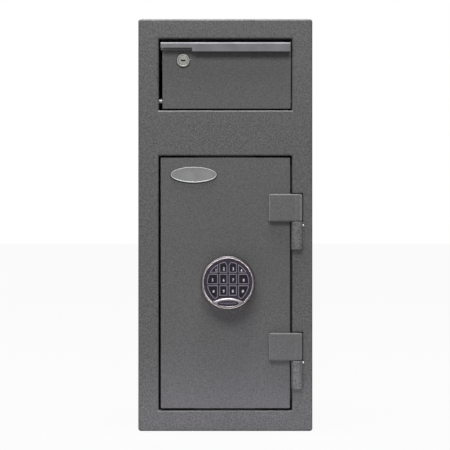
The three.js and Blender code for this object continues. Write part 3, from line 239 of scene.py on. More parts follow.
# The bare label under the lens, where the real one has its lettering.
bareLabel = mouldedPlastic("grey label under the lens", {
    "light": "#6C5F72", "dark": "#635769", "grainMm": 0.9, "grainHeightMm": 0.01, "toneMm": 8,
    "rough": (0.14, 0.2), "bump": 0.1, "ior": 1.49, "specular": 0.24})
# Black for the lens's gasket, and the same black as painted shade under the badge and round the lock's
# head.
blackGasketAndShade = mouldedPlastic("black nylon gasket and painted shade", {
    "light": "#26262A", "dark": "#1D1D20", "grainMm": 0.8, "grainHeightMm": 0.04, "toneMm": 8,
    "rough": (0.45, 0.6), "bump": 0.3, "ior": 1.53, "specular": 0.25})
# Dull and almost black, on the door stops: painted shade, so that they show as dark as the deep door gap
# round them.
doorStopPaintedShade = mouldedPlastic("black painted shade on the door stops", {
    "light": "#1B1B1B", "dark": "#141414", "grainMm": 1.2, "grainHeightMm": 0.05, "toneMm": 12,
    "rough": (0.5, 0.65), "bump": 0.3, "ior": 1.5, "specular": 0.2})
# Near black on the keyway's cut faces: painted shade, for the dark deep in the slot.
keywayPaintedShade = mouldedPlastic("painted shade in a keyway", {
    "light": "#0C0C0C", "dark": "#080808", "grainMm": 1.2, "grainHeightMm": 0.05, "toneMm": 12,
    "rough": (0.7, 0.8), "bump": 0.2, "ior": 1.5, "specular": 0.05})


# Mesh helpers. A shell is a list of points, a list of faces and each face's material number.

smoothDegrees = 35  # an edge that turns by more than this stays sharp


# Joins each loop of points to the next. A ring also joins the last to the first, and otherwise
# both ends are closed. The strips are the material numbers from loop to loop.
def loft(loops, strips=0, ring=False):
    count = len(loops[0])
    points = [point for loop in loops for point in loop]
    last = len(loops) if ring else len(loops) - 1
    faces, slots = [], []
    for i in range(last):
        here, there = i * count, ((i + 1) % len(loops)) * count
        slot = strips if isinstance(strips, int) else strips[i]
        for j in range(count):
            k = (j + 1) % count
            faces.append((here + j, here + k, there + k, there + j))
            slots.append(slot)
    if not ring:
        faces.append(tuple(range(count))[::-1])
        slots.append(slots[0])
        faces.append(tuple(range((len(loops) - 1) * count, len(loops) * count)))
        slots.append(slots[-2])
    return points, faces, slots


def shadeByAngle(mesh, sharpDegrees):
    work = bmesh.new()
    work.from_mesh(mesh)
    bmesh.ops.recalc_face_normals(work, faces=work.faces)
    work.to_mesh(mesh)
    work.free()
    mesh.shade_smooth()
    mesh.set_sharp_from_angle(angle=math.radians(sharpDegrees))


def keepFlats(thing):
    normals = thing.modifiers.new("flat faces stay flat", "WEIGHTED_NORMAL")
    normals.weight = 100
    normals.keep_sharp = True


def buildObject(name, shells, materials, sharpDegrees):
    mesh = bpy.data.meshes.new(name)
    points, faces, slots = [], [], []
    for shellPoints, shellFaces, shellSlots in shells:
        start = len(points)
        points += [(x * mm, y * mm, z * mm) for x, y, z in shellPoints]
        faces += [tuple(start + i for i in face) for face in shellFaces]
        slots += shellSlots
    mesh.from_pydata(points, [], faces)
    for material in materials:
        mesh.materials.append(material)
    mesh.polygons.foreach_set("material_index", slots)
    thing = bpy.data.objects.new(name, mesh)
    scene.collection.objects.link(thing)
    shadeByAngle(mesh, sharpDegrees)
    return thing


def placePiece(name, shells, materials, body, replaced=(), sharpDegrees=smoothDegrees):
    piece = buildObject(name, shells, materials, sharpDegrees)
    keepFlats(piece)
    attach(piece, body)
    if replaced:
        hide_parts(*replaced)
    return piece


# Cuts a closed shell out of a piece. The faces of the cut take the given material.
def carve(piece, shell, material):
    tool = buildObject("tool", [shell], [material], smoothDegrees)
    cut = piece.modifiers.new("cut", "BOOLEAN")
    cut.object = tool
    cut.solver = "EXACT"
    cut.material_mode = "TRANSFER"
    piece.modifiers.move(len(piece.modifiers) - 1, 0)
    bpy.context.view_layer.update()
    graph = bpy.context.evaluated_depsgraph_get()
    others = [modifier for modifier in piece.modifiers if modifier.name != "cut"]
    for modifier in others:
        modifier.show_viewport = False
    bpy.context.view_layer.update()
    carved = bpy.data.meshes.new_from_object(piece.evaluated_get(graph))
    for modifier in others:
        modifier.show_viewport = True
    piece.modifiers.remove(cut)
    piece.data = carved
    bpy.data.objects.remove(tool)
    shadeByAngle(carved, smoothDegrees)


# A circle about an axis through the centre. The height runs forward along -y, or up along z.
def circle(radius, height, centre, axis, steps):
    cx, cy, cz = centre
    points = []
    for i in range(steps):
        angle = 2 * math.pi * i / steps
        u, v = radius * math.cos(angle), radius * math.sin(angle)
        points.append((cx + u, cy - height, cz + v) if axis == "y" else (cx + u, cy + v, cz + height))
    return points


def turned(profile, centre, axis, steps, ring=False, strips=0):
    return loft([circle(r, h, centre, axis, steps) for r, h in profile], strips, ring)


# Moves each point of a closed outline inwards. The outline runs counter-clockwise.
# The least keeps a point at a sharp corner from running far off.
def inset(outline, distance, least=0.3):
    moved = []
    for i, (x, z) in enumerate(outline):
        x0, z0 = outline[i - 1]
        x1, z1 = outline[(i + 1) % len(outline)]
        before = Vector((z - z0, x0 - x)).normalized()
        after = Vector((z1 - z, x - x1)).normalized()
        shift = (before + after) / max(1 + before.dot(after), least)
        moved.append((x - shift.x * distance, z - shift.y * distance))
    return moved


# An outline on a plane in front of a centre, so many millimetres forward.
def forward(centre, outline, height):
    return [(centre[0] + x, centre[1] - height, centre[2] + z) for x, z in outline]


def ellipse(width, height, steps, centreZ=0.0):
    angles = [2 * math.pi * i / steps for i in range(steps)]
    return [(width / 2 * math.cos(a), centreZ + height / 2 * math.sin(a)) for a in angles]


# Insets and heights that round an edge by a quarter circle, from the side up to the face.
def roundEdge(radius, height, steps=4):
    angles = [math.pi / 2 * i / steps for i in range(steps + 1)]
    return [(radius * (1 - math.cos(a)), height - radius + radius * math.sin(a)) for a in angles]


# A point on the curve from start to end that bends towards a third point, at the share t of its way.
def curvePoint(start, bend, end, t):
    return start * (1 - t) ** 2 + bend * 2 * t * (1 - t) + end * t ** 2


# Rounds the corners of an outline that turn by more than the least angle.
# A round takes no more than the given share of the side before it and the side after it.
def rounded(outline, radius, steps=4, leastDegrees=20, mostShare=0.45):
    smooth = []
    for i, corner in enumerate(outline):
        here = Vector(corner)
        back = Vector(outline[i - 1]) - here
        ahead = Vector(outline[(i + 1) % len(outline)]) - here
        turn = math.pi - back.angle(ahead)
        if turn < math.radians(leastDegrees):
            smooth.append(corner)
            continue
        reach = min(radius * math.tan(turn / 2), mostShare * back.length, mostShare * ahead.length)
        start, end = here + back.normalized() * reach, here + ahead.normalized() * reach
        for k in range(steps + 1):
            point = curvePoint(start, here, end, k / steps)
            smooth.append((point.x, point.y))
    return smooth


# One figure, centred on its own outline and standing on the surface.
def textShell(text, font, size, centreX, centreZ, surface, slot):
    curve = bpy.data.curves.new("figure", "FONT")
    curve.body = text
    curve.size = size
    curve.offset = font["weight"]
    curve.extrude = font["raised"]
    curve.resolution_u = font["curveSteps"]
    holder = bpy.data.objects.new("figure", curve)
    scene.collection.objects.link(holder)
    bpy.context.view_layer.update()
    mesh = bpy.data.meshes.new_from_object(holder)
    work = bmesh.new()
    work.from_mesh(mesh)
    bmesh.ops.remove_doubles(work, verts=work.verts, dist=font["merge"])
    work.verts.ensure_lookup_table()
    middle = []
    for i in (0, 1):
        reach = [vertex.co[i] for vertex in work.verts]
        middle.append((min(reach) + max(reach)) / 2)
    points = []
    for vertex in work.verts:
        across, up, out = vertex.co
        x = centreX + (across - middle[0]) * font["narrow"]
        points.append((x, surface - out - font["raised"], centreZ + up - middle[1]))
    faces = [tuple(vertex.index for vertex in face.verts) for face in work.faces]
    work.free()
    bpy.data.objects.remove(holder)
    bpy.data.meshes.remove(mesh)
    return points, faces, [slot] * len(faces)


dressing = {"weldMm": 0.01, "flatDegrees": 0.5, "edgeDegrees": 40}


# CAD nodes that keep their shape: a material, softened edges and smooth rounds.
def dressNode(node, material, edgeMm=0.0, segments=2):
    thing = nodes[node]
    mesh = thing.data
    mesh.materials.clear()
    mesh.materials.append(material)
    for attribute in ("custom_normal", "sharp_face", "sharp_edge"):
        if attribute in mesh.attributes:
            mesh.attributes.remove(mesh.attributes[attribute])
    weld = thing.modifiers.new("weld", "WELD")
    weld.merge_threshold = dressing["weldMm"] * mm
    flats = thing.modifiers.new("flats", "DECIMATE")
    flats.decimate_type = "DISSOLVE"
    flats.angle_limit = math.radians(dressing["flatDegrees"])
    if edgeMm:
        edges = thing.modifiers.new("edges", "BEVEL")
        edges.width = edgeMm * mm
        edges.segments = segments
        edges.limit_method = "ANGLE"
        edges.angle_limit = math.radians(dressing["edgeDegrees"])
    mesh.shade_smooth()
    keepFlats(thing)


def dressNodes(names, material, edgeMm):
    for name in names:
        dressNode(name, material, edgeMm)


print("stage: cabinet")
dressNodes(("front_frame", "left_side_panel", "right_side_panel"), texturedCoat, 0.3)
dressNodes(("top_panel", "floor_panel", "back_panel"), texturedCoat, 0.3)
# The door stops are almost black: painted shade for the door gap.
dressNodes(("upper_door_stop", "lower_door_stop"), doorStopPaintedShade, 0.4)
dressNodes(("upper_hinge_pocket", "lower_hinge_pocket"), thinCoat, 0.4)
dressNodes(("left_hopper_cheek", "right_hopper_cheek", "anti_fishing_guard"), thinCoat, 0.3)
dressNodes(("upper_hinge_pin", "lower_hinge_pin"), zincOnSteel, 0.3)
dressNode("left_pivot_bolt", dullZinc, 0.6, segments=3)
dressNode("right_pivot_bolt", thinCoat, 0.3)

print("stage: door")
dressNode("door_panel", smoothCoat)
dressNode("hinge_side_dog_bar", thinCoat, 0.5)
dressNode("bolt_guide_bracket", zincOnSteel, 0.4)
dressNode("lock_case", dieCastZinc, 0.3)
dressNode("bolt_carriage", zincOnSteel, 0.3)
dressNode("drive_pinion", turnedSteel, 0.15)
dressNode("drive_spindle", turnedSteel, 0.3)
dressNodes(("left_guide_post", "right_guide_post"), turnedSteel, 0.3)
dressNodes(("upper_locking_bolt", "lower_locking_bolt"), turnedSteel, 0.3)

print("stage: hopper")
dressNode("hopper_front_panel", smoothCoat)
dressNodes(("left_hopper_side", "right_hopper_side", "hopper_floor"), thinCoat, 0.3)
dressNode("hopper_pull_lip", brushedStrip, 0.35)
dressNodes(("hopper_lock_nut", "hopper_lock_cam", "hopper_lock_screw"), zincOnSteel, 0.25)

print("stage: hopper lock")
# Heights are forward from the hopper's front. Foot, mouth and shade ring edges are given point by point:
# how far in from the radius, or out from the mouth, and at what height or how far below the head's face.
lock = {
    "centre": (-85.8, -162.5, 755.3), "steps": 96, "gap": 0.3, "standOff": 0.05,
    "bodyLength": 15.5, "bodyRadius": 9.5,
    "headRadius": 13.2, "headHeight": 3.5, "headEdge": 0.9, "headFoot": [(0.2, 0.05), (0.0, 0.25)],
    "mouthEdge": [(0.7, 0.0), (0.2, 0.2), (0.0, 0.6)], "recessFloor": 1.9,
    "plugRadius": 7.0, "plugFaceRadius": 9.6, "plugFront": 3.5, "plugEdge": 0.6,
    "tailRadius": 4.0, "tailLength": 2.5,
    "shadeRingRadius": 14.5, "shadeRingEdge": [(0.2, 0.05), (0.0, 0.25), (0.1, 0.8), (0.4, 0.9)],
    "keywayBend": 5.6, "keywayHalfAngle": 38, "keywayWidth": 2.9, "keywayDepth": 6.0, "keywayBeyond": 1,
    "keywaySteps": 16, "keywayEndSteps": 6,
    "tab": [(12.6, 0.0), (16.4, 1.6), (12.6, 3.4)], "tabHeights": (0.3, 1.6),
}
back, face = -lock["bodyLength"], lock["headHeight"]
bore, mouth = lock["plugRadius"] + lock["gap"], lock["plugFaceRadius"] + lock["gap"]
headEdge = lock["headFoot"] + roundEdge(lock["headEdge"], face)
headProfile = [(bore, back), (lock["bodyRadius"], back), (lock["bodyRadius"], lock["standOff"])]
headProfile += [(lock["headRadius"] - d, h) for d, h in headEdge]
headProfile += [(mouth + d, face - drop) for d, drop in lock["mouthEdge"]]
headProfile += [(mouth, lock["recessFloor"]), (bore, lock["recessFloor"])]
head = turned(headProfile, lock["centre"], "y", lock["steps"], ring=True)
tab = loft([forward(lock["centre"], lock["tab"], height) for height in lock["tabHeights"]])
# The head turns with the plug here. The CAD housing that it stands for is fixed to the hopper.
placePiece("hopper_lock_head", [head, tab], [satinNickel], "hopper_lock",
           ["hopper_lock_housing"])
# A low black ring round the head's foot: painted shade round the lock.
shadeRingInside = lock["headRadius"] + lock["standOff"]
shadeRingProfile = [(shadeRingInside, lock["standOff"])]
shadeRingProfile += [(lock["shadeRingRadius"] - d, h) for d, h in lock["shadeRingEdge"]]
shadeRingProfile += [(shadeRingInside, lock["shadeRingEdge"][-1][1])]
shadeRing = turned(shadeRingProfile, lock["centre"], "y", lock["steps"], ring=True)
placePiece("hopper_lock_gasket", [shadeRing], [blackGasketAndShade], "hopper")
plugBack, plugStep = back - lock["gap"], lock["recessFloor"] + lock["standOff"]
plugProfile = [
    (lock["tailRadius"], plugBack - lock["tailLength"]), (lock["tailRadius"], plugBack),
    (lock["plugRadius"], plugBack), (lock["plugRadius"], plugStep), (lock["plugFaceRadius"], plugStep)]
plugProfile += [(lock["plugFaceRadius"] - d, h) for d, h in roundEdge(lock["plugEdge"], lock["plugFront"])]
plug = placePiece("hopper_lock_core", [turned(plugProfile, lock["centre"], "y", lock["steps"])],
                  [satinNickel], "hopper_lock", ["hopper_lock_plug"])


# The keyway is a bent slot with round ends, open upwards like a smile.
def keywayOutline():
    bend, half = lock["keywayBend"], lock["keywayWidth"] / 2
    sweep = math.radians(lock["keywayHalfAngle"])
    steps, endSteps = lock["keywaySteps"], lock["keywayEndSteps"]
    low = [(-math.pi / 2 - sweep + 2 * sweep * i / steps, bend + half) for i in range(steps + 1)]
    high = [(-math.pi / 2 + sweep - 2 * sweep * i / steps, bend - half) for i in range(steps + 1)]
    rise = bend * (1 + math.cos(sweep)) / 2
    outline = []
    for start, arc in ((low, -math.pi / 2 + sweep), (high, -math.pi / 2 - sweep)):
        outline += [(r * math.cos(a), rise + r * math.sin(a)) for a, r in start]
        endX, endZ = bend * math.cos(arc), rise + bend * math.sin(arc)
        turn = arc if start is low else arc + math.pi
        for k in range(1, endSteps):
            a = turn + math.pi * k / endSteps
            outline.append((endX + half * math.cos(a), endZ + half * math.sin(a)))
    return outline


keyway = keywayOutline()
depths = (lock["plugFront"] - lock["keywayDepth"], lock["plugFront"] + lock["keywayBeyond"])
# The keyway's cut faces take the near black, its painted shade.
carve(plug, loft([forward(lock["centre"], keyway, depth) for depth in depths]), keywayPaintedShade)


print("stage: badge")
# The black pad under the badge is painted shadow: set lower and larger than the badge, it shows below and
# at both ends, where the badge's shadow falls. The pad's layers are insets and heights. The rim's slope is
# given from the rim's width and the front:
# how far further in, and how far down.
badge = {
    "centre": (-64.4, frontY, 522.2), "size": (94.0, 32.0), "steps": 128,
    "back": 0.75, "foot": 0.3, "front": 2.65, "edge": 0.7,
    "rimWidth": 2.2, "rimSlope": [(-0.7, 0.05), (-0.3, 0.25), (0.0, 0.8), (0.6, 0.8)],
    "shadowPadCentre": (-64.6, frontY, 521.3), "shadowPadSize": (97.0, 33.4),
    "shadowPadLayers": [(0.2, 0.05), (0.0, 0.2), (0.0, 0.55), (0.2, 0.7)],
}
# The pad's black, below the badge and at its ends, is painted shadow.
shadowPadOutline = ellipse(*badge["shadowPadSize"], badge["steps"])
shadowPadLoops = [forward(badge["shadowPadCentre"], inset(shadowPadOutline, d), h) for d, h in badge["shadowPadLayers"]]
placePiece("badge_foam_pad", [loft(shadowPadLoops)], [blackGasketAndShade], "door")
badgeLayers = [(badge["foot"], badge["back"]), (0.0, badge["back"] + badge["foot"])]
badgeLayers += roundEdge(badge["edge"], badge["front"])
badgeLayers += [(badge["rimWidth"] + d, badge["front"] - drop) for d, drop in badge["rimSlope"]]
badgeStrips = [0] * (len(badgeLayers) - 2) + [1]
badgeOutline = ellipse(*badge["size"], badge["steps"])
badgeLoops = [forward(badge["centre"], inset(badgeOutline, d), h) for d, h in badgeLayers]
placePiece("oval_badge", [loft(badgeLoops, badgeStrips)], [polishedAluminium, brushedAluminium],
           "door", ["badge_plate"])


print("stage: hinges")
hinges = {
    "axisX": 146.0, "bottoms": {"upper": 426.9, "lower": 144.5}, "gap": 0.3, "seam": 0.05,
    "leafHeight": 56.4, "leafReach": 57.6, "leafThickness": 10.0, "leafEdge": 3.4, "leafCorner": 3.6,
    "knuckleRadius": 11.0, "knuckleSteps": 40,
    "barrelRadius": 12.15, "barrelLength": 56.7, "barrelEdge": 1.2, "barrelSteps": 72,
    "boreRadius": 5.3, "pinGrip": 42.3, "boreSteps": 32, "boreBeyond": 1,
}


# Plan of the leaf with its knuckle, measured from the hinge axis: across, and back from the front face.
def leafPlan():
    reach, thick, radius = hinges["leafReach"], hinges["leafThickness"], hinges["knuckleRadius"]
    start = -math.pi + math.asin(thick / radius)
    sweep = 2 * math.pi - math.asin(thick / radius)
    steps = hinges["knuckleSteps"]
    arc = [start + sweep * i / steps for i in range(steps + 1)]
    plan = [(-reach, -hinges["seam"]), (-reach, -thick)]
    return plan + [(radius * math.cos(a), radius * math.sin(a)) for a in arc]


def placeLeaf(level, bottom):
    plan = rounded(leafPlan(), hinges["leafCorner"])
    edge, tall = hinges["leafEdge"], hinges["leafHeight"]
    layers = roundEdge(edge, edge)
    ends = [(d, edge - h) for d, h in layers][::-1] + [(d, tall - edge + h) for d, h in layers]
    loops = []
    for distance, height in ends:
        across = inset(plan, distance)
        loops.append([(hinges["axisX"] + u, frontY + v, bottom + height) for u, v in across])
    leaf = placePiece(level + "_leaf", [loft(loops)], [glossierCoat], "door",
                      [level + "_hinge_leaf"])
    profile = [(hinges["boreRadius"], -hinges["boreBeyond"]), (hinges["boreRadius"], hinges["pinGrip"])]
    carve(leaf, turned(profile, (hinges["axisX"], frontY, bottom), "z", hinges["boreSteps"]), glossierCoat)


def placeBarrel(level, bottom):
    length, edge, radius = hinges["barrelLength"], hinges["barrelEdge"], hinges["barrelRadius"]
    foot = [(radius - d, edge - h) for d, h in roundEdge(edge, edge)][::-1]
    head = [(radius - d, h) for d, h in roundEdge(edge, length)]
    pit = [(hinges["boreRadius"], length), (hinges["boreRadius"], length - hinges["pinGrip"])]
    centre = (hinges["axisX"], frontY, bottom - hinges["gap"] - length)
    placePiece(level + "_barrel", [turned(foot + head + pit, centre, "z", hinges["barrelSteps"])],
               [lumpyCoatPaintedLighter], "cabinet", [level + "_hinge_barrel"])


# The bead of weld beside each barrel. It swells and drifts at random and thins out at both ends.
welds = {
    "x": 158.6, "sink": 0.2, "drop": 1, "radius": 2.1, "rings": 22, "steps": 10,
    "swell": (0.45, 1.3), "drift": (-0.6, 0.4), "endPower": 6, "endLeast": 0.03,
    "spots": {"upper": (158.7, 419.1), "lower": (158.3, 139.9)}, "spotForward": 2.2, "spotSteps": 20,
    "spotProfile": [(0.5, -0.3), (2.2, 0.0), (2.5, 0.6), (2.2, 1.3), (1.5, 1.8), (0.5, 2.1)],
}


def placeWeld(level, bottom):
    random.seed(len(level) + int(bottom))
    rings = []
    for i in range(welds["rings"] + 1):
        share = i / welds["rings"]
        taper = max(1 - abs(2 * share - 1) ** welds["endPower"], welds["endLeast"])
        swell = math.sqrt(taper) * random.uniform(*welds["swell"])
        x = welds["x"] + random.uniform(*welds["drift"])
        z = bottom - hinges["barrelLength"] * (1 - share) - welds["drop"]
        centre = (x, frontY + welds["sink"], z)
        rings.append(circle(welds["radius"] * swell, 0, centre, "z", welds["steps"]))
    placePiece(level + "_hinge_weld", [loft(rings)], [lumpyCoatPaintedLighter], "cabinet", sharpDegrees=80)
    spotX, spotZ = welds["spots"][level]
    centre = (spotX, frontY - welds["spotForward"], spotZ)
    spot = turned(welds["spotProfile"], centre, "y", welds["spotSteps"])
    placePiece(level + "_hinge_weld_spot", [spot], [bareWeld], "cabinet", sharpDegrees=60)


for level, bottom in hinges["bottoms"].items():
    placeLeaf(level, bottom)
    placeBarrel(level, bottom)
    placeWeld(level, bottom)


print("stage: keys")
# Columns and rows are measured from the keypad's centre. A key's edge is insets and drops from its front.
# The dish's edge is the same, but its insets are counted from the width of the pale outline.
keypad = {
    "centre": (5.5, frontY, 304.0),
    "keyFront": 35.2,
    "keyBack": 31.6,
    "keyEdge": [(0.0, 0.5), (0.08, 0.2), (0.3, 0.0)],
    "fieldRadius": 42.5,
    "fieldSteps": 14,
    "innerColumn": (1.3, 17.7),
    "outerColumn": (20.3, 42.8),
    "topRow": (20.0, 43.5),
    "middleRow": (-3.2, 18.0),
    "bottomRow": (-26.2, -5.2),
    "bottomCorner": -32.8,
    "topNotch": (3.9, 7.0),
    "bottomNotch": (4.6, 4.2),
    "cornerRadius": 1.4,
    "leastCorner": 0.3,
    "outlineWidth": 1.5,
    "dish": 0.3,
    "dishEdge": [(0.2, 0.0), (0.4, 0.3), (0.8, 0.3)],
}
figures = {
    "size": 8.0, "starSize": 12.0, "weight": 0.27, "raised": 0.1, "narrow": 0.82, "curveSteps": 3,
    "merge": 0.0001,
}
keyFigures = {
    "key_1": ("1", -24.3, 25.0), "key_2": ("2", -8.4, 27.8),
    "key_3": ("3", 10.4, 27.8), "key_4": ("4", 26.8, 24.6),
    "key_5": ("5", -31.0, 5.2), "key_6": ("6", -8.8, 5.2),
    "key_7": ("7", 10.2, 5.2), "key_8": ("8", 31.4, 5.0),
    "key_star": ("*", -29.0, -17.6), "key_9": ("9", -8.8, -17.0),
    "key_0": ("0", 9.7, -17.0), "key_hash": ("#", 29.8, -17.4),
}


def narrowed(notch, shrink):
    across, down = notch
    slant = math.hypot(across, down) - across - down
    return across + shrink * slant / down, down + shrink * slant / across


# Outline of one key on the right half of the face; its outer edge follows the round key field.
# The same outline drawn smaller all round is asked for with shrink.
def keyOutline(column, row, topNotch=None, bottomNotch=None, shrink=0.0):
    left, right = column[0] + shrink, column[1] - shrink
    low, high = row[0] + shrink, row[1] - shrink
    radius = keypad["fieldRadius"] - shrink
    topNotch, bottomNotch = [notch and narrowed(notch, shrink) for notch in (topNotch, bottomNotch)]
    points = [(left, low)]
    if bottomNotch:
        points = [(left, low + bottomNotch[1]), (left + bottomNotch[0], low)]
    rightInside = math.hypot(right, low) < radius
    if rightInside:
        points.append((right, low))
    if math.hypot(right, high) < radius:
        return points + [(right, high), (left, high)]
    start = math.acos(right / radius) if rightInside else math.asin(low / radius)
    topLeft = left + (topNotch[0] if topNotch else 0)
    reachesTop = math.hypot(topLeft, high) < radius
    end = math.asin(high / radius) if reachesTop else math.acos(topLeft / radius)
    steps = keypad["fieldSteps"]
    for i in range(steps + 1):
        angle = start + (end - start) * i / steps
        points.append((radius * math.cos(angle), radius * math.sin(angle)))
    if topNotch:
        points.append((left, radius * math.sin(end) - topNotch[1]))
    elif reachesTop:
        points.append((left, high))
    return points


inner, outer = keypad["innerColumn"], keypad["outerColumn"]
top, middle, bottom = keypad["topRow"], keypad["middleRow"], keypad["bottomRow"]
cornerRow = (keypad["bottomCorner"], bottom[1])
topNotch, bottomNotch = keypad["topNotch"], keypad["bottomNotch"]
# Left or right side of the keypad, column, row, and the notches cut off a key's top and bottom corner.
keyPlaces = {
    "key_1": (-1, outer, top, None, None), "key_2": (-1, inner, top, topNotch, None),
    "key_3": (1, inner, top, topNotch, None), "key_4": (1, outer, top, None, None),
    "key_5": (-1, outer, middle, None, None), "key_6": (-1, inner, middle, None, None),
    "key_7": (1, inner, middle, None, None), "key_8": (1, outer, middle, None, None),
    "key_star": (-1, outer, cornerRow, None, bottomNotch), "key_9": (-1, inner, bottom, None, None),
    "key_0": (1, inner, bottom, None, None), "key_hash": (1, outer, cornerRow, None, bottomNotch),
}
keypadX, keypadY, keypadZ = keypad["centre"]

dressNodes(("keypad_base_ring", "keypad_face"), violetAbs, 0.0)
keyFront = keypad["keyFront"]
keyLayers = [(0.0, keypad["keyBack"])]
keyLayers += [(d, keyFront - drop) for d, drop in keypad["keyEdge"]]
keyLayers += [(keypad["outlineWidth"] + d, keyFront - drop) for d, drop in keypad["dishEdge"]]
keyStrips = [0, 0, 1, 1, 0, 0]  # rubber sides, pale outline, rubber dish
for name, (side, *cell) in keyPlaces.items():
    loops = []
    for shrink, height in keyLayers:
        corner = max(keypad["cornerRadius"] - shrink, keypad["leastCorner"])
        outline = rounded(keyOutline(*cell, shrink=shrink), corner)
        if side < 0:
            outline = [(-x, z) for x, z in outline][::-1]
        loops.append(forward(keypad["centre"], outline, height))
    text, x, z = keyFigures[name]
    size = figures["starSize"] if text == "*" else figures["size"]
    surface = keypadY - keyFront + keypad["dish"]
    figure = textShell(text, figures, size, keypadX + x, keypadZ + z, surface, 2)
    placePiece(name + "_cap", [loft(loops, keyStrips), figure],
               [keyRubber, keyOutlinePale, keyFigurePrint], name, [name])


print("stage: keypad housing")
housing = {
    "bore": 4.3, "back": 3.3, "floor": 6.3, "insideRadius": 45.4, "seatRadius": 48.7, "seatHeight": 28.45,
    "seatDrop": 0.9, "baseRadius": 54.9, "baseEdge": 0.7, "bandTop": 6.0,
    "flankBend": (54.4, 10.0), "flankSteps": 8,
    "shoulderRadius": 54.3, "shoulderWidth": 3.4, "shoulderHeight": 4.6, "shoulderSteps": 8,
    "top": 34.5, "beadRadius": 49.85, "beadWidth": 0.85, "beadSink": 0.35, "beadSteps": 12, "steps": 160,
}
base, shoulder, top = housing["baseRadius"], housing["shoulderRadius"], housing["top"]
back, baseEdge = housing["back"], housing["baseEdge"]
profile = [(housing["bore"], back), (base - baseEdge, back), (base, back + baseEdge)]
flankStart = Vector((base, housing["bandTop"]))
flankBend = Vector(housing["flankBend"])
flankEnd = Vector((shoulder, top - housing["shoulderHeight"]))
for i in range(housing["flankSteps"] + 1):
    point = curvePoint(flankStart, flankBend, flankEnd, i / housing["flankSteps"])
    profile.append((point.x, point.y))
for i in range(1, housing["shoulderSteps"]):
    angle = math.pi / 2 * i / housing["shoulderSteps"]
    profile.append((
        shoulder - housing["shoulderWidth"] * (1 - math.cos(angle)),
        top - housing["shoulderHeight"] * (1 - math.sin(angle))))
bead, beadWidth = housing["beadRadius"], housing["beadWidth"]
beadStart = len(profile)
for i in range(1, housing["beadSteps"]):
    angle = math.pi * i / housing["beadSteps"]
    profile.append((
        bead + beadWidth * math.cos(angle), top - housing["beadSink"] + beadWidth * math.sin(angle)))
beadEnd = len(profile)
seat, inside = housing["seatRadius"], housing["insideRadius"]
profile += [(seat, top - housing["seatDrop"]), (seat, housing["seatHeight"])]
profile += [(inside, housing["seatHeight"]), (inside, housing["floor"])]
profile += [(housing["bore"], housing["floor"])]
# The bead takes the satin chrome; the rest of the ring takes the chrome darkened as painted reflection.
ringStrips = [1 if beadStart <= i < beadEnd else 0 for i in range(len(profile))]
ringShell = turned(profile, keypad["centre"], "y", housing["steps"], ring=True, strips=ringStrips)
placePiece("keypad_ring", [ringShell], [chromeWithPaintedReflection, satinChrome], "keypad",
           ["keypad_housing"])


print("stage: bezel and window")
# The slope is how far in from the rim towards the window, and how far below the crest:
# long on the way up from the rim, and short down to the window.
bezel = {
    "middle": -41.9, "lowerRadius": 50.7, "upperCentre": -101.2, "upperRadius": 70.5, "tip": (33.0, -38.9),
    "underFace": 33.55, "overRim": 35.1, "overRimStep": 0.1, "insideRim": 48.2, "sideTop": 35.5,
    "crest": 38.0,
    "slope": [
        (0.06, 1.9), (0.14, 1.3), (0.24, 0.75), (0.36, 0.35), (0.48, 0.12), (0.6, 0.0), (0.7, 0.08),
        (0.8, 0.35), (0.9, 0.8), (1.0, 1.4)],
    "window": (42.6, 11.0), "pocketFloor": 35.6, "pocketEdge": 0.2, "pocketShare": 1.02,
    "upperSteps": 60, "lowerSteps": 84,
}


# Where a ray from the middle of the window leaves a circle centred below the keypad's centre.
def reachOnRay(angle, centreZ, radius):
    offset = bezel["middle"] - centreZ
    along = offset * math.sin(angle)
    return -along + math.sqrt(along ** 2 - offset ** 2 + radius ** 2)


tipAngle = math.atan2(bezel["tip"][1] - bezel["middle"], bezel["tip"][0])
arcs = (
    (tipAngle, math.pi - 2 * tipAngle, bezel["upperSteps"]),
    (math.pi - tipAngle, math.pi + 2 * tipAngle, bezel["lowerSteps"]))
rim, under, opening = [], [], []
for start, sweep, steps in arcs:
    for i in range(steps):
        angle = start + sweep * i / steps
        upperReach = reachOnRay(angle, bezel["upperCentre"], bezel["upperRadius"])
        reach = min(reachOnRay(angle, 0, bezel["lowerRadius"]), upperReach)
        across, tall = bezel["window"]
        rim.append((reach, angle))
        under.append((min(reach, reachOnRay(angle, 0, bezel["insideRim"])), angle))
        opening.append(1 / math.hypot(math.cos(angle) / (across / 2), math.sin(angle) / (tall / 2)))


# A loop on its way from the start, rim or under, to the window's opening.
def bezelLoop(share, height, start=rim):
    points = []
    for (outside, angle), inside in zip(start, opening):
        distance = outside + (inside - outside) * share
        points.append((distance * math.cos(angle), bezel["middle"] + distance * math.sin(angle)))
    return forward(keypad["centre"], points, height)


bezelLoops = [
    bezelLoop(0, bezel["underFace"], under), bezelLoop(0, bezel["overRim"] - bezel["overRimStep"], under),
    bezelLoop(0, bezel["overRim"]), bezelLoop(0, bezel["sideTop"])]
bezelLoops += [bezelLoop(share, bezel["crest"] - drop) for share, drop in bezel["slope"]]
bezelLoops += [
    bezelLoop(1.0, bezel["pocketFloor"] + bezel["pocketEdge"]),
    bezelLoop(bezel["pocketShare"], bezel["pocketFloor"])]
placePiece("keypad_lens_frame", [loft(bezelLoops)], [satinChrome], "keypad",
           ["keypad_bezel"])

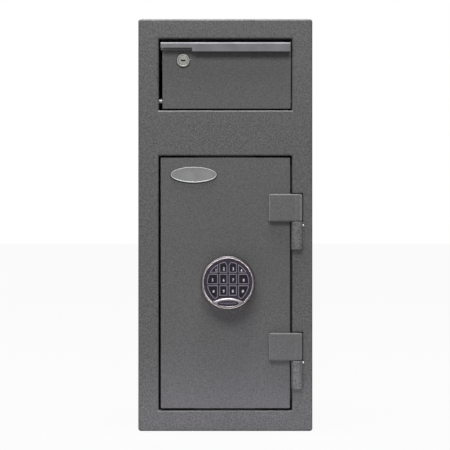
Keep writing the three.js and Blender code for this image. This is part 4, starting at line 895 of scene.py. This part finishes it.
# The layers are insets and heights. From the edge in: gasket, smoked lens, then the label.
lens = {
    "size": (42.0, 10.4), "steps": 96,
    "layers": [
        (0, 35.65), (0, 36.1), (0.25, 36.25), (1.1, 35.95), (1.5, 35.9), (1.8, 36.0), (2.2, 36.2),
        (2.8, 36.35), (3.5, 36.45), (4.3, 36.5)],
    "strips": [1, 1, 1, 1, 0, 0, 0, 0, 2],
}
across, tall = lens["size"]
lensLoops = []
for distance, height in lens["layers"]:
    outline = ellipse(across - 2 * distance, tall - 2 * distance, lens["steps"], bezel["middle"])
    lensLoops.append(forward(keypad["centre"], outline, height))
placePiece("keypad_lens", [loft(lensLoops, lens["strips"])], [smokedLens, blackGasketAndShade, bareLabel],
           "keypad", ["keypad_window"], sharpDegrees=60)


print("stage: floor and backdrop")
backdrop = {
    "floorReach": 30, "floorZ": -0.0004, "floorColour": "#8E8E8E", "floorRough": 0.9, "floorGlow": 0.95,
    "ambient": 0.06,
}
white = (1, 1, 1, 1)


# One for a ray that is seen: straight, mirrored or through a lens. Nothing for a ray that lights.
def seenShare(tree):
    rays = addNode(tree, "ShaderNodeLightPath")
    share = rays.outputs["Is Camera Ray"]
    for kind in ("Is Glossy Ray", "Is Transmission Ray"):
        either = addNode(tree, "ShaderNodeMath", {0: share, 1: rays.outputs[kind]}, operation="MAXIMUM")
        share = either.outputs[0]
    return share


def mixInto(tree, output, share, first, second):
    mixed = addNode(tree, "ShaderNodeMixShader", {0: share, 1: first.outputs[0], 2: second.outputs[0]})
    tree.links.new(mixed.outputs[0], tree.nodes[output].inputs["Surface"])


floorMesh = bpy.data.meshes.new("floor")
corners = [(-1, -1), (1, -1), (1, 1), (-1, 1)]
reach = backdrop["floorReach"]
floorMesh.from_pydata([(x * reach, y * reach, 0) for x, y in corners], [], [(0, 1, 2, 3)])
floor = bpy.data.objects.new("floor", floorMesh)
floor.location.z = backdrop["floorZ"]
scene.collection.objects.link(floor)
paleFloor = bpy.data.materials.new("pale studio floor")
paleFloor.use_nodes = True
floorTree = paleFloor.node_tree
floorShader = floorTree.nodes["Principled BSDF"]
floorShader.inputs["Base Color"].default_value = linearColour(backdrop["floorColour"])
floorShader.inputs["Roughness"].default_value = backdrop["floorRough"]
glowShare = addNode(floorTree, "ShaderNodeMath", {
    0: seenShare(floorTree), 1: backdrop["floorGlow"]}, operation="MULTIPLY")
glow = addNode(floorTree, "ShaderNodeEmission", {"Color": white, "Strength": 1.0})
mixInto(floorTree, "Material Output", glowShare.outputs[0], floorShader, glow)
floorMesh.materials.append(paleFloor)

world = bpy.data.worlds.new("studio")
scene.world = world
world.use_nodes = True
worldTree = world.node_tree
ambient = worldTree.nodes["Background"]
ambient.inputs["Color"].default_value = white
ambient.inputs["Strength"].default_value = backdrop["ambient"]
bright = addNode(worldTree, "ShaderNodeBackground", {"Color": white, "Strength": 1.0})
mixInto(worldTree, "World Output", seenShare(worldTree), ambient, bright)

print("stage: lamps and camera")
# The reflectors light the keypad's ring alone and the strips the hinge leaves alone. They stand for the
# cards and boxes that the photographed surfaces mirror. A lamp is white unless it has a tint, and is
# mirrored unless its shine is off.
body, low = (0, -0.1, 0.45), (0, -0.2, 0.3)
hingeAim, stripSize = (0.12, -0.18, 0.35), (0.1, 1.2)
ring, leaves = ["keypad_ring"], ["upper_leaf", "lower_leaf"]
lamps = {
    "key softbox": {"at": (-0.35, -2.45, 2.75), "aim": body, "size": (2.4, 1.1), "watts": 72},
    "overhead softbox": {"at": (-0.1, -0.42, 2.9), "aim": body, "size": (1.4, 0.6), "watts": 72},
    "low left card": {
        "at": (-0.5, -0.8, 0.16), "aim": low, "size": (0.4, 0.3), "watts": 0.4, "tint": "#FFF4EA",
        "shine": False},
    "low right card": {
        "at": (0.14, -0.8, 0.06), "aim": low, "size": (0.4, 0.12), "watts": 0.26, "tint": "#F0E4FF",
        "shine": False},
    "floor card": {
        "at": (0, -0.285, 0.012), "aim": (0, -0.17, 0.05), "size": (0.5, 0.05), "watts": 0.27,
        "tint": "#F4EEFF", "shine": False},
    "left back softbox": {"at": (-1.9, 2.0, 3.0), "aim": (0, 0, 0.45), "size": (1.4, 1.4), "watts": 38},
    "right back softbox": {"at": (1.9, 2.0, 3.0), "aim": (0, 0, 0.45), "size": (1.4, 1.4), "watts": 38},
    "upper left reflector": {
        "at": (-1.8, -1.4, 1.55), "aim": low, "size": (0.7, 1.1), "watts": 56, "tint": "#FFF9EE",
        "onlyOn": ring},
    "upper reflector": {
        "at": (-0.65, -1.3, 2.55), "aim": low, "size": (2.0, 0.6), "watts": 34, "onlyOn": ring},
    "low reflector": {
        "at": (-0.22, -0.45, 0.02), "aim": (-0.22, -0.45, 1), "size": (0.9, 0.3), "watts": 14,
        "tint": "#FFF6EA", "onlyOn": ring},
    "left strip": {
        "at": (-1.5, -0.24, 0.7), "aim": hingeAim, "size": stripSize, "watts": 15, "onlyOn": leaves},
    "right strip": {
        "at": (1.5, -0.28, 0.7), "aim": hingeAim, "size": stripSize, "watts": 9, "onlyOn": leaves},
}
for name, lamp in lamps.items():
    light = bpy.data.lights.new(name, "AREA")
    light.shape = "RECTANGLE"
    light.size, light.size_y = lamp["size"]
    light.energy = lamp["watts"]
    light.color = linearColour(lamp.get("tint", "#FFFFFF"))[:3]
    holder = bpy.data.objects.new(name, light)
    holder.location = lamp["at"]
    direction = Vector(lamp["aim"]) - Vector(lamp["at"])
    holder.rotation_euler = direction.to_track_quat("-Z", "Y").to_euler()
    holder.visible_camera = False
    holder.visible_glossy = lamp.get("shine", True)
    scene.collection.objects.link(holder)
    if "onlyOn" in lamp:
        lit = bpy.data.collections.new(name)
        for piece in lamp["onlyOn"]:
            lit.objects.link(bpy.data.objects[piece])
        holder.light_linking.receiver_collection = lit

view = {"across": -0.0007, "distance": 3.0, "height": 0.4201, "widthAtFront": 0.9162, "sensor": 36}
cameraData = bpy.data.cameras.new("camera")
cameraData.sensor_width = view["sensor"]
cameraData.lens = view["sensor"] * view["distance"] / view["widthAtFront"]
camera = bpy.data.objects.new("camera", cameraData)
camera.location = (view["across"], frontY * mm - view["distance"], view["height"])
camera.rotation_euler = (math.pi / 2, 0, 0)
scene.collection.objects.link(camera)
scene.camera = camera

scene.view_settings.view_transform = "Standard"

print("stage: done")
